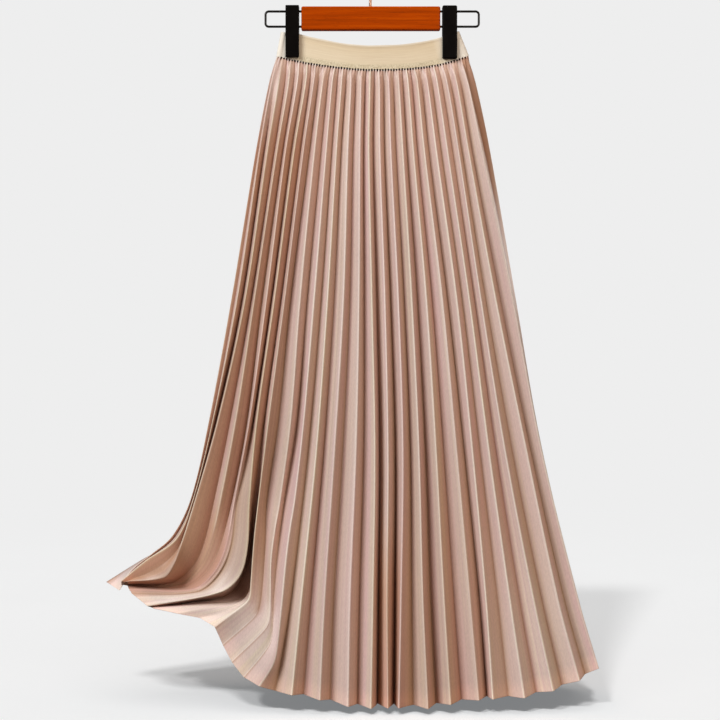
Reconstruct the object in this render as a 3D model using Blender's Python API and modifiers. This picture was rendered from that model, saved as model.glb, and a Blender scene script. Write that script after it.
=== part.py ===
"""Pleated satin maxi skirt held by a wooden clip hanger.

Metres. +Z up, the front of the skirt faces -Y. The origin is the inside top of the
hanger's hook, where a rail carries it.

The skirt is drawn first as a front elevation: `across` and `down` are counted in
drawing units of 1.4 mm from the drawing's top left corner, as seen from a point
SEEN_FROM metres in front, so what lies further back is drawn a little smaller.
`depth` is the distance behind the plane of the waist in millimetres (minus = nearer).
"""
import math

import bmesh
import bpy
from mathutils import Vector

# ---------------------------------------------------------------- sizes
UNIT = 0.0014          # metres for each drawing unit
SEEN_FROM = 2.5        # metres from the waist's plane to the eye
EYE = (360.0, 360.0)   # the eye's height and side position on the drawing
STEM_AT = 370.4        # across: the hook's stem, x = 0
BAR_TOP_AT = 7.0       # down: the bar's top edge
BAR_TOP_Z = -0.075     # the same edge in metres

CLOTH = 0.0013         # thickness of the pleated cloth's wall
BAND = 0.0016          # thickness of the elastic
SEAM = 0.0003          # gap between pieces at a seam
BAND_HEIGHT = 24.6     # drawing units, about 34 mm
LENGTH_ROWS = (0.0, 0.022, 0.06, 0.15, 0.27, 0.39, 0.51, 0.62, 0.715, 0.79, 0.85, 0.90, 0.95, 1.0)

# Outline of the skirt if none of it were swept aside, by height on the drawing.
#        down  left   right  front  side   back   (front, side, back: depth in mm)
OUTLINE = (
    (60,   274.5, 470.5,  -4,    0,     4),
    (80,   268.5, 477.5,  -13,   1,     15),
    (150,  256.5, 491.0,  -27,   8,     43),
    (300,  231.0, 515.0,  -50,   28,    86),
    (450,  202.0, 543.0,  -72,   49,    122),
    (600,  175.0, 578.5,  -90,   68,    147),
    (709,  157.0, 604.0,  -101,  79,    160),
)

# One row for each hanging fold of the front, from the right edge of the sweep to the
# right side. across at four heights, then the hem's point; dip and low are where the
# valley right of the fold lies between this fold and the next, at the thigh and at the
# hem; deep is its depth in mm at the hem.
#        name   150  300  450  600  hem_across  hem_down  dip   low   deep
FRONT = (
    ("f08", 336.5, 327.5, 316.5, 301.3, 291.8, 695.5, 0.40, 0.40, 17),
    ("f09", 348, 343.5, 334.5, 324.5, 319.7, 700.5, 0.40, 0.37, 17),
    ("f10", 360, 359, 356, 350, 348, 707.0, 0.38, 0.40, 21),
    ("f11", 369, 372, 375, 373, 371, 709.0, 0.36, 0.38, 32),
    ("f12", 380, 385, 388, 387, 387.9, 708.6, 0.42, 0.60, 28),
    ("f13", 391, 398.5, 403, 401, 398.8, 708.6, 0.43, 0.52, 22),
    ("f14", 403, 412, 419, 423, 428, 709.3, 0.38, 0.40, 25),
    ("f15", 413.5, 426.5, 436, 444, 450.4, 705.0, 0.36, 0.40, 20),
    ("f16", 424.5, 442.5, 456.5, 470, 478.8, 700.6, 0.38, 0.66, 21),
    ("f17", 436.5, 457, 472.5, 486, 492.8, 699.6, 0.45, 0.52, 14),
    ("f18", 447.5, 469.5, 489, 510, 524.4, 698.4, 0.50, 0.44, 15),
    ("f19", 458.5, 481, 505, 533.5, 553, 691.4, 0.36, 0.38, 12),
    ("f20", 468.5, 496, 526.5, 558, 579.5, 681.0, 0.30, 0.36, 11),
    ("f21", 482, 513.2, 541.8, 578.8, 599, 668.5, 0.40, 0.50, 16),
)

# One row for each line of the part that is swept out to the left, seam first. across at
# the waist, 150, 300 and 420, then the bottom run as (across, down, depth) steps.
# kind r is the outside of a fold, v the inside, s a shallow inside, p a line on the
# flattened strip.
#   name   kind  waist  150    300    420    bottom run
SWEPT = (
    ("seam", "v", 277.3, 260.0, 236.5, 215.0,
        ((198, 500, 38), (178, 538, 38), (140, 561, 34), (106.5, 582.0, 30))),
    ("f00a", "r", 276.9, 256.2, 231.4, 209.2,
        ((190.8, 499, -48), (172.4, 536, -38), (150, 555.5, -24), (131, 570.5, -10), (119.5, 590.5, 4))),
    ("v00", "s", 277.6, 258.6, 235.0, 212.5,
        ((192.6, 500, -44), (175.8, 536, -34), (151.5, 557.5, -18), (132.5, 572.5, -8), (121.2, 587.0, 6))),
    ("f00", "r", 278.4, 260.0, 237.0, 213.0,
        ((192.5, 502, -56), (176.5, 539, -48), (146.5, 560, -28), (121.5, 581.0, -6))),
    ("v01", "v", 280.2, 264.6, 242.4, 216.6,
        ((193.4, 502, -52), (178.5, 548, -44), (158, 568, -34), (124.5, 582.3, -6))),
    ("f01", "r", 281.8, 267.5, 245.0, 218.0,
        ((194.2, 504, -56), (180.6, 546, -55), (173.6, 565, -50), (164, 577.6, -40), (127, 581.4, -18))),
    ("v02", "v", 287.0, 274.8, 251.6, 230.6,
        ((213, 507, -47), (203.6, 545, -44), (193.2, 566, -36), (171, 582.5, -10), (127.0, 584.4, 10))),
    ("f02", "r", 290.2, 277.2, 254.2, 235.6,
        ((219.0, 507, -60), (209.6, 545, -52), (199.2, 567.5, -38), (177, 585.0, -12), (127.5, 585.6, 10))),
    ("v03", "v", 295.3, 283.3, 262.4, 247.8,
        ((231.8, 503, -51), (218.6, 551, -55), (206.2, 573, -47), (184, 587.4, -22), (128.0, 586.4, 2))),
    ("f03", "r", 299.0, 285.8, 266.4, 249.6,
        ((234.2, 502, -65), (225.6, 547, -66), (213.6, 573, -62), (193, 589.0, -46), (129, 588.8, -22))),
    ("v04", "v", 304.0, 292.0, 272.0, 253.8,
        ((236.8, 502, -62), (230.6, 548, -67), (218.6, 574.6, -64), (198, 591.0, -54), (132, 593.5, -36))),
    ("f04", "r", 307.8, 294.3, 274.3, 257.0,
        ((249.9, 500, -66), (247.2, 550, -73), (239.6, 576.6, -74), (221, 592.0, -72), (147.5, 606.2, -50))),
    ("v05", "v", 311.8, 300.9, 281.4, 264.8,
        ((253.8, 500, -48), (250.0, 552, -24), (232, 592, -22), (190, 602.6, -34), (150.5, 606.8, -44))),
    ("p05a", "p", 313.0, 301.6, 282.2, 265.8,
        ((257.4, 500, -44), (253.4, 554, -30), (247.4, 592, -34), (240, 600.4, -46), (200, 604.0, -58), (154, 608.6, -60))),
    ("p05b", "p", 314.2, 302.2, 283.0, 266.8,
        ((258.3, 500, -52), (253.4, 554, -44), (249.4, 592, -50), (242, 602.0, -64), (212, 607.0, -72), (178, 613.8, -72))),
    ("p05c", "p", 315.3, 302.9, 283.8, 267.7,
        ((258.6, 500, -60), (253.2, 554, -58), (249.9, 594, -66), (245, 602.6, -74), (226, 611.8, -78), (200, 618.0, -76))),
    ("f05", "r", 316.4, 303.5, 284.5, 268.6,
        ((258.6, 500, -68), (254.3, 537, -74), (251.0, 580, -79), (250.0, 596, -81), (245.6, 603.2, -83), (214.8, 627.0, -86))),
    ("v06", "v", 321.0, 310.0, 290.4, 278.8,
        ((267.0, 500, -54), (265.6, 543, -64), (262.5, 585, -74), (259.0, 608, -81), (253.6, 617.4, -83), (222.7, 644.6, -79))),
    ("f06", "r", 325.6, 314.6, 300.0, 290.8,
        ((280.2, 500, -69), (275, 529, -75), (271.0, 560, -80), (270.2, 600, -84), (269.4, 620, -88), (264.6, 629.6, -89), (231.6, 661.5, -82))),
    ("v07", "v", 330.4, 321.4, 307.2, 297.2,
        ((284.6, 500, -60), (277.4, 557, -72), (273.6, 600, -81), (271.0, 640, -88), (264.0, 652.4, -89), (243.5, 677.0, -84))),
    ("f07", "r", 334.6, 326.2, 314.0, 303.8,
        ((294.6, 500, -77), (290, 528, -81), (286.2, 557, -85), (280.7, 614, -91), (276.3, 652, -94), (272.4, 665.6, -94), (259, 686.3, -90))),
)

# The right edge: a last valley, the fold that turns away behind it and the side seam, as
# (across, depth) at seven heights.
RIGHT_DOWN = (82, 150, 300, 450, 600, 663)
#   name    waist
RIGHT = (
    ("v21", 464.3, ((468.9, -3), (484.2, -8), (513.6, -22), (541.4, -32), (577.0, -40), (594.5, -44))),
    ("f22", 467.2, ((475.4, 2), (489.8, 1), (515.8, 0), (541.6, 4), (577.0, 12), (595.5, 18))),
    ("seam", 468.3, ((472.4, 9), (485.5, 20), (506.5, 38), (531, 54), (563.5, 70), (583, 80))),
)

# How soon the inner swept folds spread: share of the way to the hip at down = 82.
SPREAD = {
    "f01": 0.21, "v02": 0.15, "f02": 0.12, "v03": 0.12, "f03": 0.12, "v04": 0.13, "f04": 0.14,
    "v05": 0.17, "p05a": 0.18, "p05b": 0.19, "p05c": 0.20, "f05": 0.21, "v06": 0.24, "f06": 0.27,
    "v07": 0.28, "f07": 0.29,
}
SWEEP_FORWARD = 18     # mm that the swept hem also comes forward, fading over its last folds

# The hem of the back as a few stations; its folds are spread evenly between them.
#       share  across  down   depth
BACK_HEM = (
    (0.00, 583, 663, 80),
    (0.12, 552, 668, 122),
    (0.28, 500, 672, 154),
    (0.45, 420, 674, 162),
    (0.60, 345, 672, 156),
    (0.70, 296, 663, 142),
    (0.79, 255, 642, 124),
    (0.87, 213, 612, 98),
    (0.94, 160, 592, 62),
    (1.00, 106.5, 582.0, 30),
)
BACK_FOLDS = 21
BACK_DEEP = 15.0

# ---------------------------------------------------------------- small tools


def table(rows, at, column):
    """Smooth reading of a column of a table whose first column rises."""
    keys = [r[0] for r in rows]
    if at <= keys[0]:
        return rows[0][column]
    if at >= keys[-1]:
        return rows[-1][column]
    i = max(k for k in range(len(keys) - 1) if keys[k] <= at)

    def slope(k):
        a, b = max(k - 1, 0), min(k + 1, len(keys) - 1)
        return (rows[b][column] - rows[a][column]) / (keys[b] - keys[a])

    gap = keys[i + 1] - keys[i]
    s = (at - keys[i]) / gap
    return (
        (2 * s**3 - 3 * s**2 + 1) * rows[i][column]
        + (s**3 - 2 * s**2 + s) * gap * slope(i)
        + (-2 * s**3 + 3 * s**2) * rows[i + 1][column]
        + (s**3 - s**2) * gap * slope(i + 1)
    )


def place(across, down, depth):
    """A point of the drawing in metres."""
    y = depth * 0.001
    far = 1 + y / SEEN_FROM
    x = ((across - EYE[0]) * far + EYE[0] - STEM_AT) * UNIT
    z = BAR_TOP_Z - ((down - EYE[1]) * far + EYE[1] - BAR_TOP_AT) * UNIT
    return Vector((x, y, z))


def waist_down(across):
    """The elastic's lower edge, which sags between the clips."""
    q = min(abs(across - 371.5) / 96.0, 1.0)
    return 56.0 + 14.0 * (1 - q ** (1.65 if across < 371.5 else 2.6))


def band_height(across):
    """The elastic's height on the drawing: a little more where it leans by the left clip."""
    lean = min(1.0, max(0.0, across - 276.8) / 18) * min(1.0, max(0.0, 350 - across) / 55)
    return BAND_HEIGHT + 2.0 * lean


def waist_depth(across):
    """Half the depth of the waist's flat loop: open between the clips, pinched at them."""
    d = abs(across - 371.5)
    if d < 69:
        return 2.4 + 6.0 * (1 - (d / 69) ** 2)
    end = 94.75 if across < 371.5 else 97.05
    q = min(max(d - 90.0, 0.0) / (end - 90.0), 1.0)
    return 2.4 * math.sqrt(1 - q * q) + 0.7 * math.sin(math.pi * q)


def skin(across, down, back=False):
    """Depth of the smooth form that the folds stand on."""
    left, right, front, side, rear = (table(OUTLINE, down, c) for c in range(1, 6))
    q = (across - (left + right) / 2) / ((right - left) / 2)
    if back:
        return side + (rear - side) * math.sqrt(max(0.0, 1 - min(abs(q), 1.0) ** 2.15))
    return side + (front - side) * math.sqrt(1 - (0.8 * min(abs(q), 1.0)) ** 6)


def fold_depth(down, deep):
    """Depth of a fold, in mm: pressed flat at the waist, quickly full, then growing."""
    start = min(max((down - 58) / 16.0, 0.0), 1.0)
    return 1.0 + 6.4 * start + (deep - 7.4) * max(0.0, (down - 74) / 635.0)


def run_through(points, shares):
    """A smooth line through points, read at shares of its length."""
    fine = []
    count = len(points)
    steps = [0.0]
    for a, b in zip(points, points[1:]):
        steps.append(steps[-1] + (b - a).length)

    def slope(k):
        a, b = max(k - 1, 0), min(k + 1, count - 1)
        return (points[b] - points[a]) / (steps[b] - steps[a])

    for i in range(count - 1):
        gap = steps[i + 1] - steps[i]
        m0, m1 = slope(i) * gap, slope(i + 1) * gap
        for n in range(24):
            s = n / 24
            fine.append(
                points[i] * (2 * s**3 - 3 * s**2 + 1) + m0 * (s**3 - 2 * s**2 + s)
                + points[i + 1] * (-2 * s**3 + 3 * s**2) + m1 * (s**3 - s**2)
            )
    fine.append(points[-1])
    walked = [0.0]
    for a, b in zip(fine, fine[1:]):
        walked.append(walked[-1] + (b - a).length)
    out, i = [], 0
    for share in shares:
        want = share * walked[-1]
        while i < len(fine) - 2 and walked[i + 1] < want:
            i += 1
        part = (want - walked[i]) / (walked[i + 1] - walked[i])
        out.append(fine[i].lerp(fine[i + 1], min(max(part, 0.0), 1.0)))
    return out


# ---------------------------------------------------------------- the fold lines


def flare(waist, hip):
    """Where a fold has got to just under the waist: the outer ones spread sooner."""
    return waist + (hip - waist) * (0.24 + 0.13 * (abs(waist - 371.5) / 96.0) ** 3)


def waist_point(across, back=False, inward=0.0):
    depth = waist_depth(across) - inward
    return place(across, waist_down(across) + 1.5 * SEAM / UNIT, depth if back else -depth)


def swept_line(row):
    name, kind, waist, hip, thigh, knee, run = row
    inner = {"r": 0.0, "v": 1.0, "s": 0.3, "p": 0.5}[kind]
    points = [waist_point(waist, back=(name == "seam"), inward=0.5 * inner)]
    inner = {"p05a": 0.75, "p05c": 0.25}.get(name, inner)
    if name == "seam":
        depths = (14, 24, 44, 58)
    else:
        depths = [skin(a, d) + inner * fold_depth(d, 21) for a, d in ((waist, 82), (hip, 150), (thigh, 300), (knee, 420))]
    first = waist + (hip - waist) * SPREAD[name] if name in SPREAD else flare(waist, hip)
    if name in ("v00", "v01"):
        depths[0] = skin(waist, 82) + 1.6
    for across, down, depth in zip((first, hip, thigh, knee), (82, 150, 300, 420), depths):
        points.append(place(across, down, depth))
    forward = SWEEP_FORWARD * min(1.0, max(0, len(SWEPT) - 6 - SWEPT.index(row)) / 5)
    for i, (across, down, depth) in enumerate(run):
        points.append(place(across, down, depth - forward * ((i + 1) / len(run)) ** 1.5))
    return points


def ridge_line(index):
    row = FRONT[index]
    waist = 343.4 + 9.0 * index
    hem_across, hem_down = row[5], row[6]
    points = [waist_point(waist)]
    points.append(place(flare(waist, row[1]), 82, skin(waist, 82)))
    for across, down in zip(row[1:5], (150, 300, 450, 600)):
        points.append(place(across, down, skin(across, down)))
    points.append(place(hem_across, hem_down, skin(hem_across, hem_down)))
    return points


def valley_line(here, after, dip, low, deep, down_hem, rise=0.0014):
    """Between two folds, point by point, pushed in by the fold's depth."""
    points = []
    count = len(here)
    for i, (a, b) in enumerate(zip(here, after)):
        part = 0.5 + (dip - 0.5) * min(1.0, i / 2) + (low - dip) * min(max(i - 3, 0) / 2, 1.0)
        p = a.lerp(b, part)
        down = 60 + (down_hem - 60) * i / (count - 1)
        push = 0.5 if i == 0 else fold_depth((82, 150, 300, 450, 600, down_hem)[min(i, count - 1) - 1], deep)
        p.y += push * 0.001
        p.x += 0.25 * (b - a).normalized().y * -push * 0.001
        points.append(p)
    points[-1].z += rise
    return points


def front_lines():
    lines = [swept_line(r) for r in SWEPT]
    ridges = [ridge_line(i) for i in range(len(FRONT))]
    # the valley between the sweep's last fold and the first hanging one
    hang = [place(a, d, skin(a, d)) for a, d in ((327, 150), (314.5, 300), (301, 450), (283.5, 600))]
    last = [waist_point(334.6), place(332.4, 82, skin(332.4, 82))] + hang + [place(262, 686, -94)]
    lines.append(valley_line(last, ridges[0], 0.52, 0.42, 16, 690, -0.004))
    for i, ridge in enumerate(ridges):
        lines.append(ridge)
        if i + 1 < len(ridges):
            dip, low, deep = FRONT[i][7:]
            lines.append(valley_line(ridge, ridges[i + 1], dip, low, deep, FRONT[i][6]))
    for name, waist, run in RIGHT:
        points = [waist_point(waist, back=(name == "seam"))]
        points += [place(across, down, depth) for (across, depth), down in zip(run, RIGHT_DOWN)]
        lines.append(points)
    return lines


def back_rows(right_seam, left_seam):
    """The back, row by row: straight falls from waist to hem, eased on to both seams."""
    count = BACK_FOLDS * 2 + 1
    waist_right, waist_left = right_seam[0], left_seam[0]
    hem_right, hem_left = right_seam[-1], left_seam[-1]
    rows = []
    for t, at_right, at_left in zip(LENGTH_ROWS, right_seam, left_seam):
        row = [at_right]
        for i in range(count):
            s = (i + 1) / (count + 1)
            share = s - 0.045 * math.sin(2 * math.pi * s)
            top = waist_point(468.3 + (277.3 - 468.3) * share, back=True)
            hem = place(*(table(BACK_HEM, share, c) for c in (1, 2, 3)))
            fall = t + 0.35 * t * (1 - t) ** 3
            p = top.lerp(hem, t)
            p.y = top.y + (hem.y - top.y) * fall
            p += (at_right - waist_right.lerp(hem_right, t)) * (1 - share) ** 4
            p += (at_left - waist_left.lerp(hem_left, t)) * share**4
            if i % 2:
                fade = min(1.0, 7 * share, 7 * (1 - share))
                push = (0.6 + (BACK_DEEP - 0.6) * min(1.0, 0.42 * min(t / 0.04, 1.0) + 0.58 * t)) * 0.001 * fade
                lean = (share - 0.5) * 0.9
                p += push * Vector((lean, -math.sqrt(1 - lean * lean), 0))
            row.append(p)
        row.append(at_left)
        rows.append(row)
    return rows


# ---------------------------------------------------------------- solids

scene = bpy.context.scene
for ob in list(bpy.data.objects):
    bpy.data.objects.remove(ob, do_unlink=True)
scene.unit_settings.system = "METRIC"
skirt_parts = bpy.data.collections.new("PleatedSkirt")
cutters = bpy.data.collections.new("Cutters")
scene.collection.children.link(skirt_parts)
scene.collection.children.link(cutters)


def material(name, colour, rough, metallic=0.0):
    mat = bpy.data.materials.new(name)
    mat.use_nodes = True
    shader = mat.node_tree.nodes["Principled BSDF"]
    shader.inputs["Base Color"].default_value = (*colour, 1)
    shader.inputs["Roughness"].default_value = rough
    shader.inputs["Metallic"].default_value = metallic
    return mat


def node(name, mesh, mat, home=skirt_parts):
    ob = bpy.data.objects.new(name, mesh)
    home.objects.link(ob)
    if mat is not None:
        ob.data.materials.append(mat)
    return ob


def wall(name, rows, thick, mat, closed=False):
    """A cloth wall through rows of points, thick / 2 either side of them."""
    high, wide = len(rows), len(rows[0])

    def face_normal(r, c):
        a, b = rows[r][c % wide], rows[r + 1][(c + 1) % wide]
        d, e = rows[r + 1][c % wide], rows[r][(c + 1) % wide]
        n = (b - a).cross(e - d)
        return n.normalized() if n.length > 1e-12 else Vector((0, -1, 0))

    spans = wide if closed else wide - 1
    facing = [[face_normal(r, c) for c in range(spans)] for r in range(high - 1)]
    bm = bmesh.new()
    outer, inner = [], []
    for r in range(high):
        out_row, in_row = [], []
        for c in range(wide):
            near = []
            for rr in (r - 1, r):
                for cc in (c - 1, c):
                    if closed:
                        cc %= wide
                    if 0 <= rr < high - 1 and 0 <= cc < spans:
                        near.append(facing[rr][cc])
            n = sum(near, Vector()).normalized()
            thin = min(n.dot(f) for f in near)
            if r in (0, high - 1):
                edge = rows[r][min(c + 1, wide - 1) if not closed else (c + 1) % wide] - rows[r][max(c - 1, 0) if not closed else c - 1]
                fall = (rows[min(r + 1, high - 1)][c] - rows[max(r - 1, 0)][c]).normalized()
                n = (n - fall * n.dot(fall)).normalized() if edge.length > 0 else n
            step = n * (thick / 2) * min(1 / max(thin, 0.2), 1.3)
            out_row.append(bm.verts.new(rows[r][c] + step))
            in_row.append(bm.verts.new(rows[r][c] - step))
        outer.append(out_row)
        inner.append(in_row)
    for r in range(high - 1):
        for c in range(spans):
            k = (c + 1) % wide
            bm.faces.new((outer[r][c], outer[r + 1][c], outer[r + 1][k], outer[r][k]))
            bm.faces.new((inner[r][c], inner[r][k], inner[r + 1][k], inner[r + 1][c]))
    for c in range(spans):
        k = (c + 1) % wide
        bm.faces.new((outer[0][c], outer[0][k], inner[0][k], inner[0][c]))
        bm.faces.new((outer[-1][c], inner[-1][c], inner[-1][k], outer[-1][k]))
    if not closed:
        for r in range(high - 1):
            bm.faces.new((outer[r][0], inner[r][0], inner[r + 1][0], outer[r + 1][0]))
            bm.faces.new((outer[r][-1], outer[r + 1][-1], inner[r + 1][-1], inner[r][-1]))
    bmesh.ops.recalc_face_normals(bm, faces=bm.faces)
    mesh = bpy.data.meshes.new(name)
    bm.to_mesh(mesh)
    bm.free()
    return node(name, mesh, mat)


def closer(point, toward, gap):
    """A point moved a little toward another."""
    step = toward - point
    return point + step.normalized() * min(gap, 0.45 * step.length)


satin_front = material("satin_front", (0.60, 0.40, 0.32), 0.36)
satin_back = material("satin_back", (0.57, 0.38, 0.30), 0.38)
elastic = material("elastic", (0.74, 0.62, 0.44), 0.55)
wood = material("wood", (0.42, 0.10, 0.01), 0.30)
copper = material("copper", (0.62, 0.36, 0.24), 0.25, 1.0)
plastic_a = material("plastic_left", (0.012, 0.012, 0.012), 0.35)
plastic_b = material("plastic_right", (0.012, 0.012, 0.012), 0.35)
black_wire_a = material("wire_left", (0.015, 0.015, 0.015), 0.3, 0.6)
black_wire_b = material("wire_right", (0.015, 0.015, 0.015), 0.3, 0.6)

front_lines_run = [run_through(line, LENGTH_ROWS) for line in front_lines()]
left_seam, right_seam = front_lines_run[0], front_lines_run[-1]
front_rows = [list(row) for row in zip(*front_lines_run)]
rear_rows = back_rows(right_seam, left_seam)
half = SEAM / 2 + 0.0006
for fore, rear in zip(front_rows, rear_rows):
    meet_left, meet_right = fore[0].copy(), fore[-1].copy()
    fore[0] = closer(meet_left, fore[1], half)
    fore[-1] = closer(meet_right, fore[-2], half)
    rear[0] = closer(meet_right, rear[1], half)
    rear[-1] = closer(meet_left, rear[-2], half)

wall("skirt_front", front_rows, CLOTH, satin_front)
wall("skirt_back", rear_rows, CLOTH, satin_back)


def band_rows():
    """The elastic: one flat loop, narrower at the top, sagging between the clips."""
    steps = 26
    rows = []
    for rise in (0.0, 0.5, 1.0):
        left = 276.8 + (281.5 - 276.8) * rise
        right = 468.5 + (458.6 - 468.5) * rise
        row = []
        for side in (-1, 1):
            for i in range(steps):
                share = i / steps
                turn = 0.5 + 0.5 * side * math.cos(math.pi * share)
                across = left + (right - left) * turn
                low = 276.8 + (468.5 - 276.8) * turn
                depth = side * waist_depth(low)
                down = waist_down(low) - band_height(low) * rise
                row.append(place(across, down, depth))
        rows.append(row)
    return rows


wall("waistband", band_rows(), BAND, elastic, closed=True)

# ---------------------------------------------------------------- hanger


def at(across, down, y=0.0):
    return Vector(((across - STEM_AT) * UNIT, y, BAR_TOP_Z - (down - BAR_TOP_AT) * UNIT))


def block(name, low, high, mat, home=skirt_parts):
    bpy.ops.mesh.primitive_cube_add(size=1)
    ob = bpy.context.object
    ob.name = name
    ob.data.name = name
    size = high - low
    for v in ob.data.vertices:
        v.co = Vector((v.co.x * size.x, v.co.y * size.y, v.co.z * size.z))
    ob.location = (low + high) / 2
    for c in list(ob.users_collection):
        c.objects.unlink(ob)
    home.objects.link(ob)
    if mat is not None:
        ob.data.materials.append(mat)
    return ob


def rounding(ob, width, segments):
    edge = ob.modifiers.new("Edges", "BEVEL")
    edge.width = width
    edge.segments = segments
    edge.limit_method = "ANGLE"
    edge.angle_limit = math.radians(40)


def drill(target, name, radius, start, end):
    """A round hole from start to end."""
    axis = end - start
    bpy.ops.mesh.primitive_cylinder_add(vertices=24, radius=radius, depth=axis.length)
    tool = bpy.context.object
    tool.name = name
    tool.rotation_mode = "QUATERNION"
    tool.rotation_quaternion = Vector((0, 0, 1)).rotation_difference(axis)
    tool.location = (start + end) / 2
    cut(target, tool)


def cut(target, tool):
    for c in list(tool.users_collection):
        c.objects.unlink(tool)
    cutters.objects.link(tool)
    tool.hide_render = True
    tool.display_type = "WIRE"
    hole = target.modifiers.new(tool.name, "BOOLEAN")
    hole.operation = "DIFFERENCE"
    hole.solver = "EXACT"
    hole.object = tool


def bent_wire(name, points, radius, mat, sides=12):
    """A round wire through points as one closed body."""
    bm = bmesh.new()
    rings = []
    last_side = None
    for i, p in enumerate(points):
        a, b = points[max(i - 1, 0)], points[min(i + 1, len(points) - 1)]
        along = (b - a).normalized()
        side = Vector((0, 1, 0)) if last_side is None else last_side
        side = (side - along * side.dot(along)).normalized()
        last_side = side
        up = along.cross(side)
        rings.append([bm.verts.new(p + radius * (side * math.cos(2 * math.pi * k / sides) + up * math.sin(2 * math.pi * k / sides))) for k in range(sides)])
    for one, two in zip(rings, rings[1:]):
        for k in range(sides):
            j = (k + 1) % sides
            bm.faces.new((one[k], one[j], two[j], two[k]))
    bm.faces.new(list(reversed(rings[0])))
    bm.faces.new(rings[-1])
    bmesh.ops.recalc_face_normals(bm, faces=bm.faces)
    mesh = bpy.data.meshes.new(name)
    bm.to_mesh(mesh)
    bm.free()
    return node(name, mesh, mat)


BAR_LEFT, BAR_RIGHT, BAR_LOW = 301.4, 440.2, 30.7
BAR_HALF = 0.0065
WIRE_R = 0.0016
WIRE_HIGH, WIRE_LOW = 11.5, 26.7

bar = block("hanger_bar", at(BAR_LEFT, BAR_LOW, -BAR_HALF), at(BAR_RIGHT, BAR_TOP_AT, BAR_HALF), wood)
rounding(bar, 0.0022, 4)

# hook: a stem out of the bar and a round hook whose inside top is the origin
HOOK_WIRE = 0.002
HOOK_INNER = 0.019
STEM_IN = 0.010
centre = -HOOK_INNER
swing = HOOK_INNER + HOOK_WIRE
hook_points = [Vector((0, 0, BAR_TOP_Z - STEM_IN)), Vector((0, 0, BAR_TOP_Z + 0.004)), Vector((0, 0, -0.0560))]
hook_points += [Vector((0.0012, 0, -0.0510)), Vector((0.0042, 0, -0.0468)), Vector((0.0085, 0, -0.0425))]
for i in range(25):
    angle = math.radians(-52 + 256 * i / 24)
    hook_points.append(Vector((swing * math.cos(angle), 0, centre + swing * math.sin(angle))))
bent_wire("hook", hook_points, HOOK_WIRE, copper, 14)
drill(bar, "stem_hole", HOOK_WIRE + 0.0003, Vector((0, 0, BAR_TOP_Z - STEM_IN - 0.0006)), Vector((0, 0, BAR_TOP_Z + 0.01)))


def loop(name, bar_end, outer, mat):
    """The wire at one end of the bar: out, down and back, ends let into the bar."""
    way = 1 if outer > bar_end else -1
    r = 3.2
    inside = bar_end - way * 7.0
    points = [at(inside, WIRE_HIGH), at(bar_end, WIRE_HIGH)]
    for i in range(7):
        a = math.radians(90 * i / 6)
        points.append(at(outer - way * r + way * r * math.sin(a), WIRE_HIGH + r - r * math.cos(a)))
    for i in range(7):
        a = math.radians(90 * i / 6)
        points.append(at(outer - way * r + way * r * math.cos(a), WIRE_LOW - r + r * math.sin(a)))
    points += [at(bar_end, WIRE_LOW), at(inside, WIRE_LOW)]
    bent_wire(name, points, WIRE_R, mat)
    for where, down in (("high", WIRE_HIGH), ("low", WIRE_LOW)):
        drill(bar, f"{name}_{where}_hole", WIRE_R + 0.0003, at(inside - way * 0.5, down), at(bar_end + way * 6, down))


loop("wire_left", BAR_LEFT, 265.6, black_wire_a)
loop("wire_right", BAR_RIGHT, 478.8, black_wire_b)


def clip(name, left, right, top, foot, mat, corner):
    """A clip as one body: a head that slides on the two wires, and two jaws below it."""
    deep = 0.0085
    body = block(name, at(left, foot, -deep), at(right, top, deep), mat)
    rounding(body, corner, 4)
    slot = block(f"{name}_slot", at(left - 6, foot + 6, -0.0036), at(right + 6, WIRE_LOW + 4.6, 0.0036), None)
    cut(body, slot)
    for where, down in (("high", WIRE_HIGH), ("low", WIRE_LOW)):
        drill(body, f"{name}_{where}_hole", WIRE_R + 0.0003, at(left - 6, down), at(right + 6, down))
    return body


clip("clip_left", 285.6, 299.2, 6.0, 58.0, plastic_a, 0.0012)
clip("clip_right", 442.2, 457.0, 6.2, 59.6, plastic_b, 0.0022)
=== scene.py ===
"""The pleated satin maxi skirt on its hanger, as it looks.

The drawing's units and tables are those of the solid: 1 unit is 1.4 mm, across and down
from the drawing's top left corner, as seen from SEEN_FROM metres in front.
"""
import math
import random

import bpy
import numpy as np
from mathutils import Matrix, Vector, noise


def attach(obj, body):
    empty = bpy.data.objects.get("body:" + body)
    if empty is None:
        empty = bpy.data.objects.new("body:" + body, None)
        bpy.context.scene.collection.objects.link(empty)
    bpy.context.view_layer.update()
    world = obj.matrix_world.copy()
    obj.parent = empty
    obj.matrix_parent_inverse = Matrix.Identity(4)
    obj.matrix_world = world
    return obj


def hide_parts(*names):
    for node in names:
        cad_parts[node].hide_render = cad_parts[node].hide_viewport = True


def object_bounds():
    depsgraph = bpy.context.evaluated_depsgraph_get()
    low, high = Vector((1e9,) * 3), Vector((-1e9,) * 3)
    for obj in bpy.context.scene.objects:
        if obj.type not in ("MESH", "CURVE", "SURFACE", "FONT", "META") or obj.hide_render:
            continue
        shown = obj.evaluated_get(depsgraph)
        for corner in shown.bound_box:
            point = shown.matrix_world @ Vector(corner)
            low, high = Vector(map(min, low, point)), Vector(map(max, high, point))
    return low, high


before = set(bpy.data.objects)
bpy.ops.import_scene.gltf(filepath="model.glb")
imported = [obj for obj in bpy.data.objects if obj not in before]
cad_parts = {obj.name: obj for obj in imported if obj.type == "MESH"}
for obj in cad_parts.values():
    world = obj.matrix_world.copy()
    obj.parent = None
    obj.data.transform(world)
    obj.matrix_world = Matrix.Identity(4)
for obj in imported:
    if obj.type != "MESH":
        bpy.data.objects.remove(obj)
cad_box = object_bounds()
random.seed(7)

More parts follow.
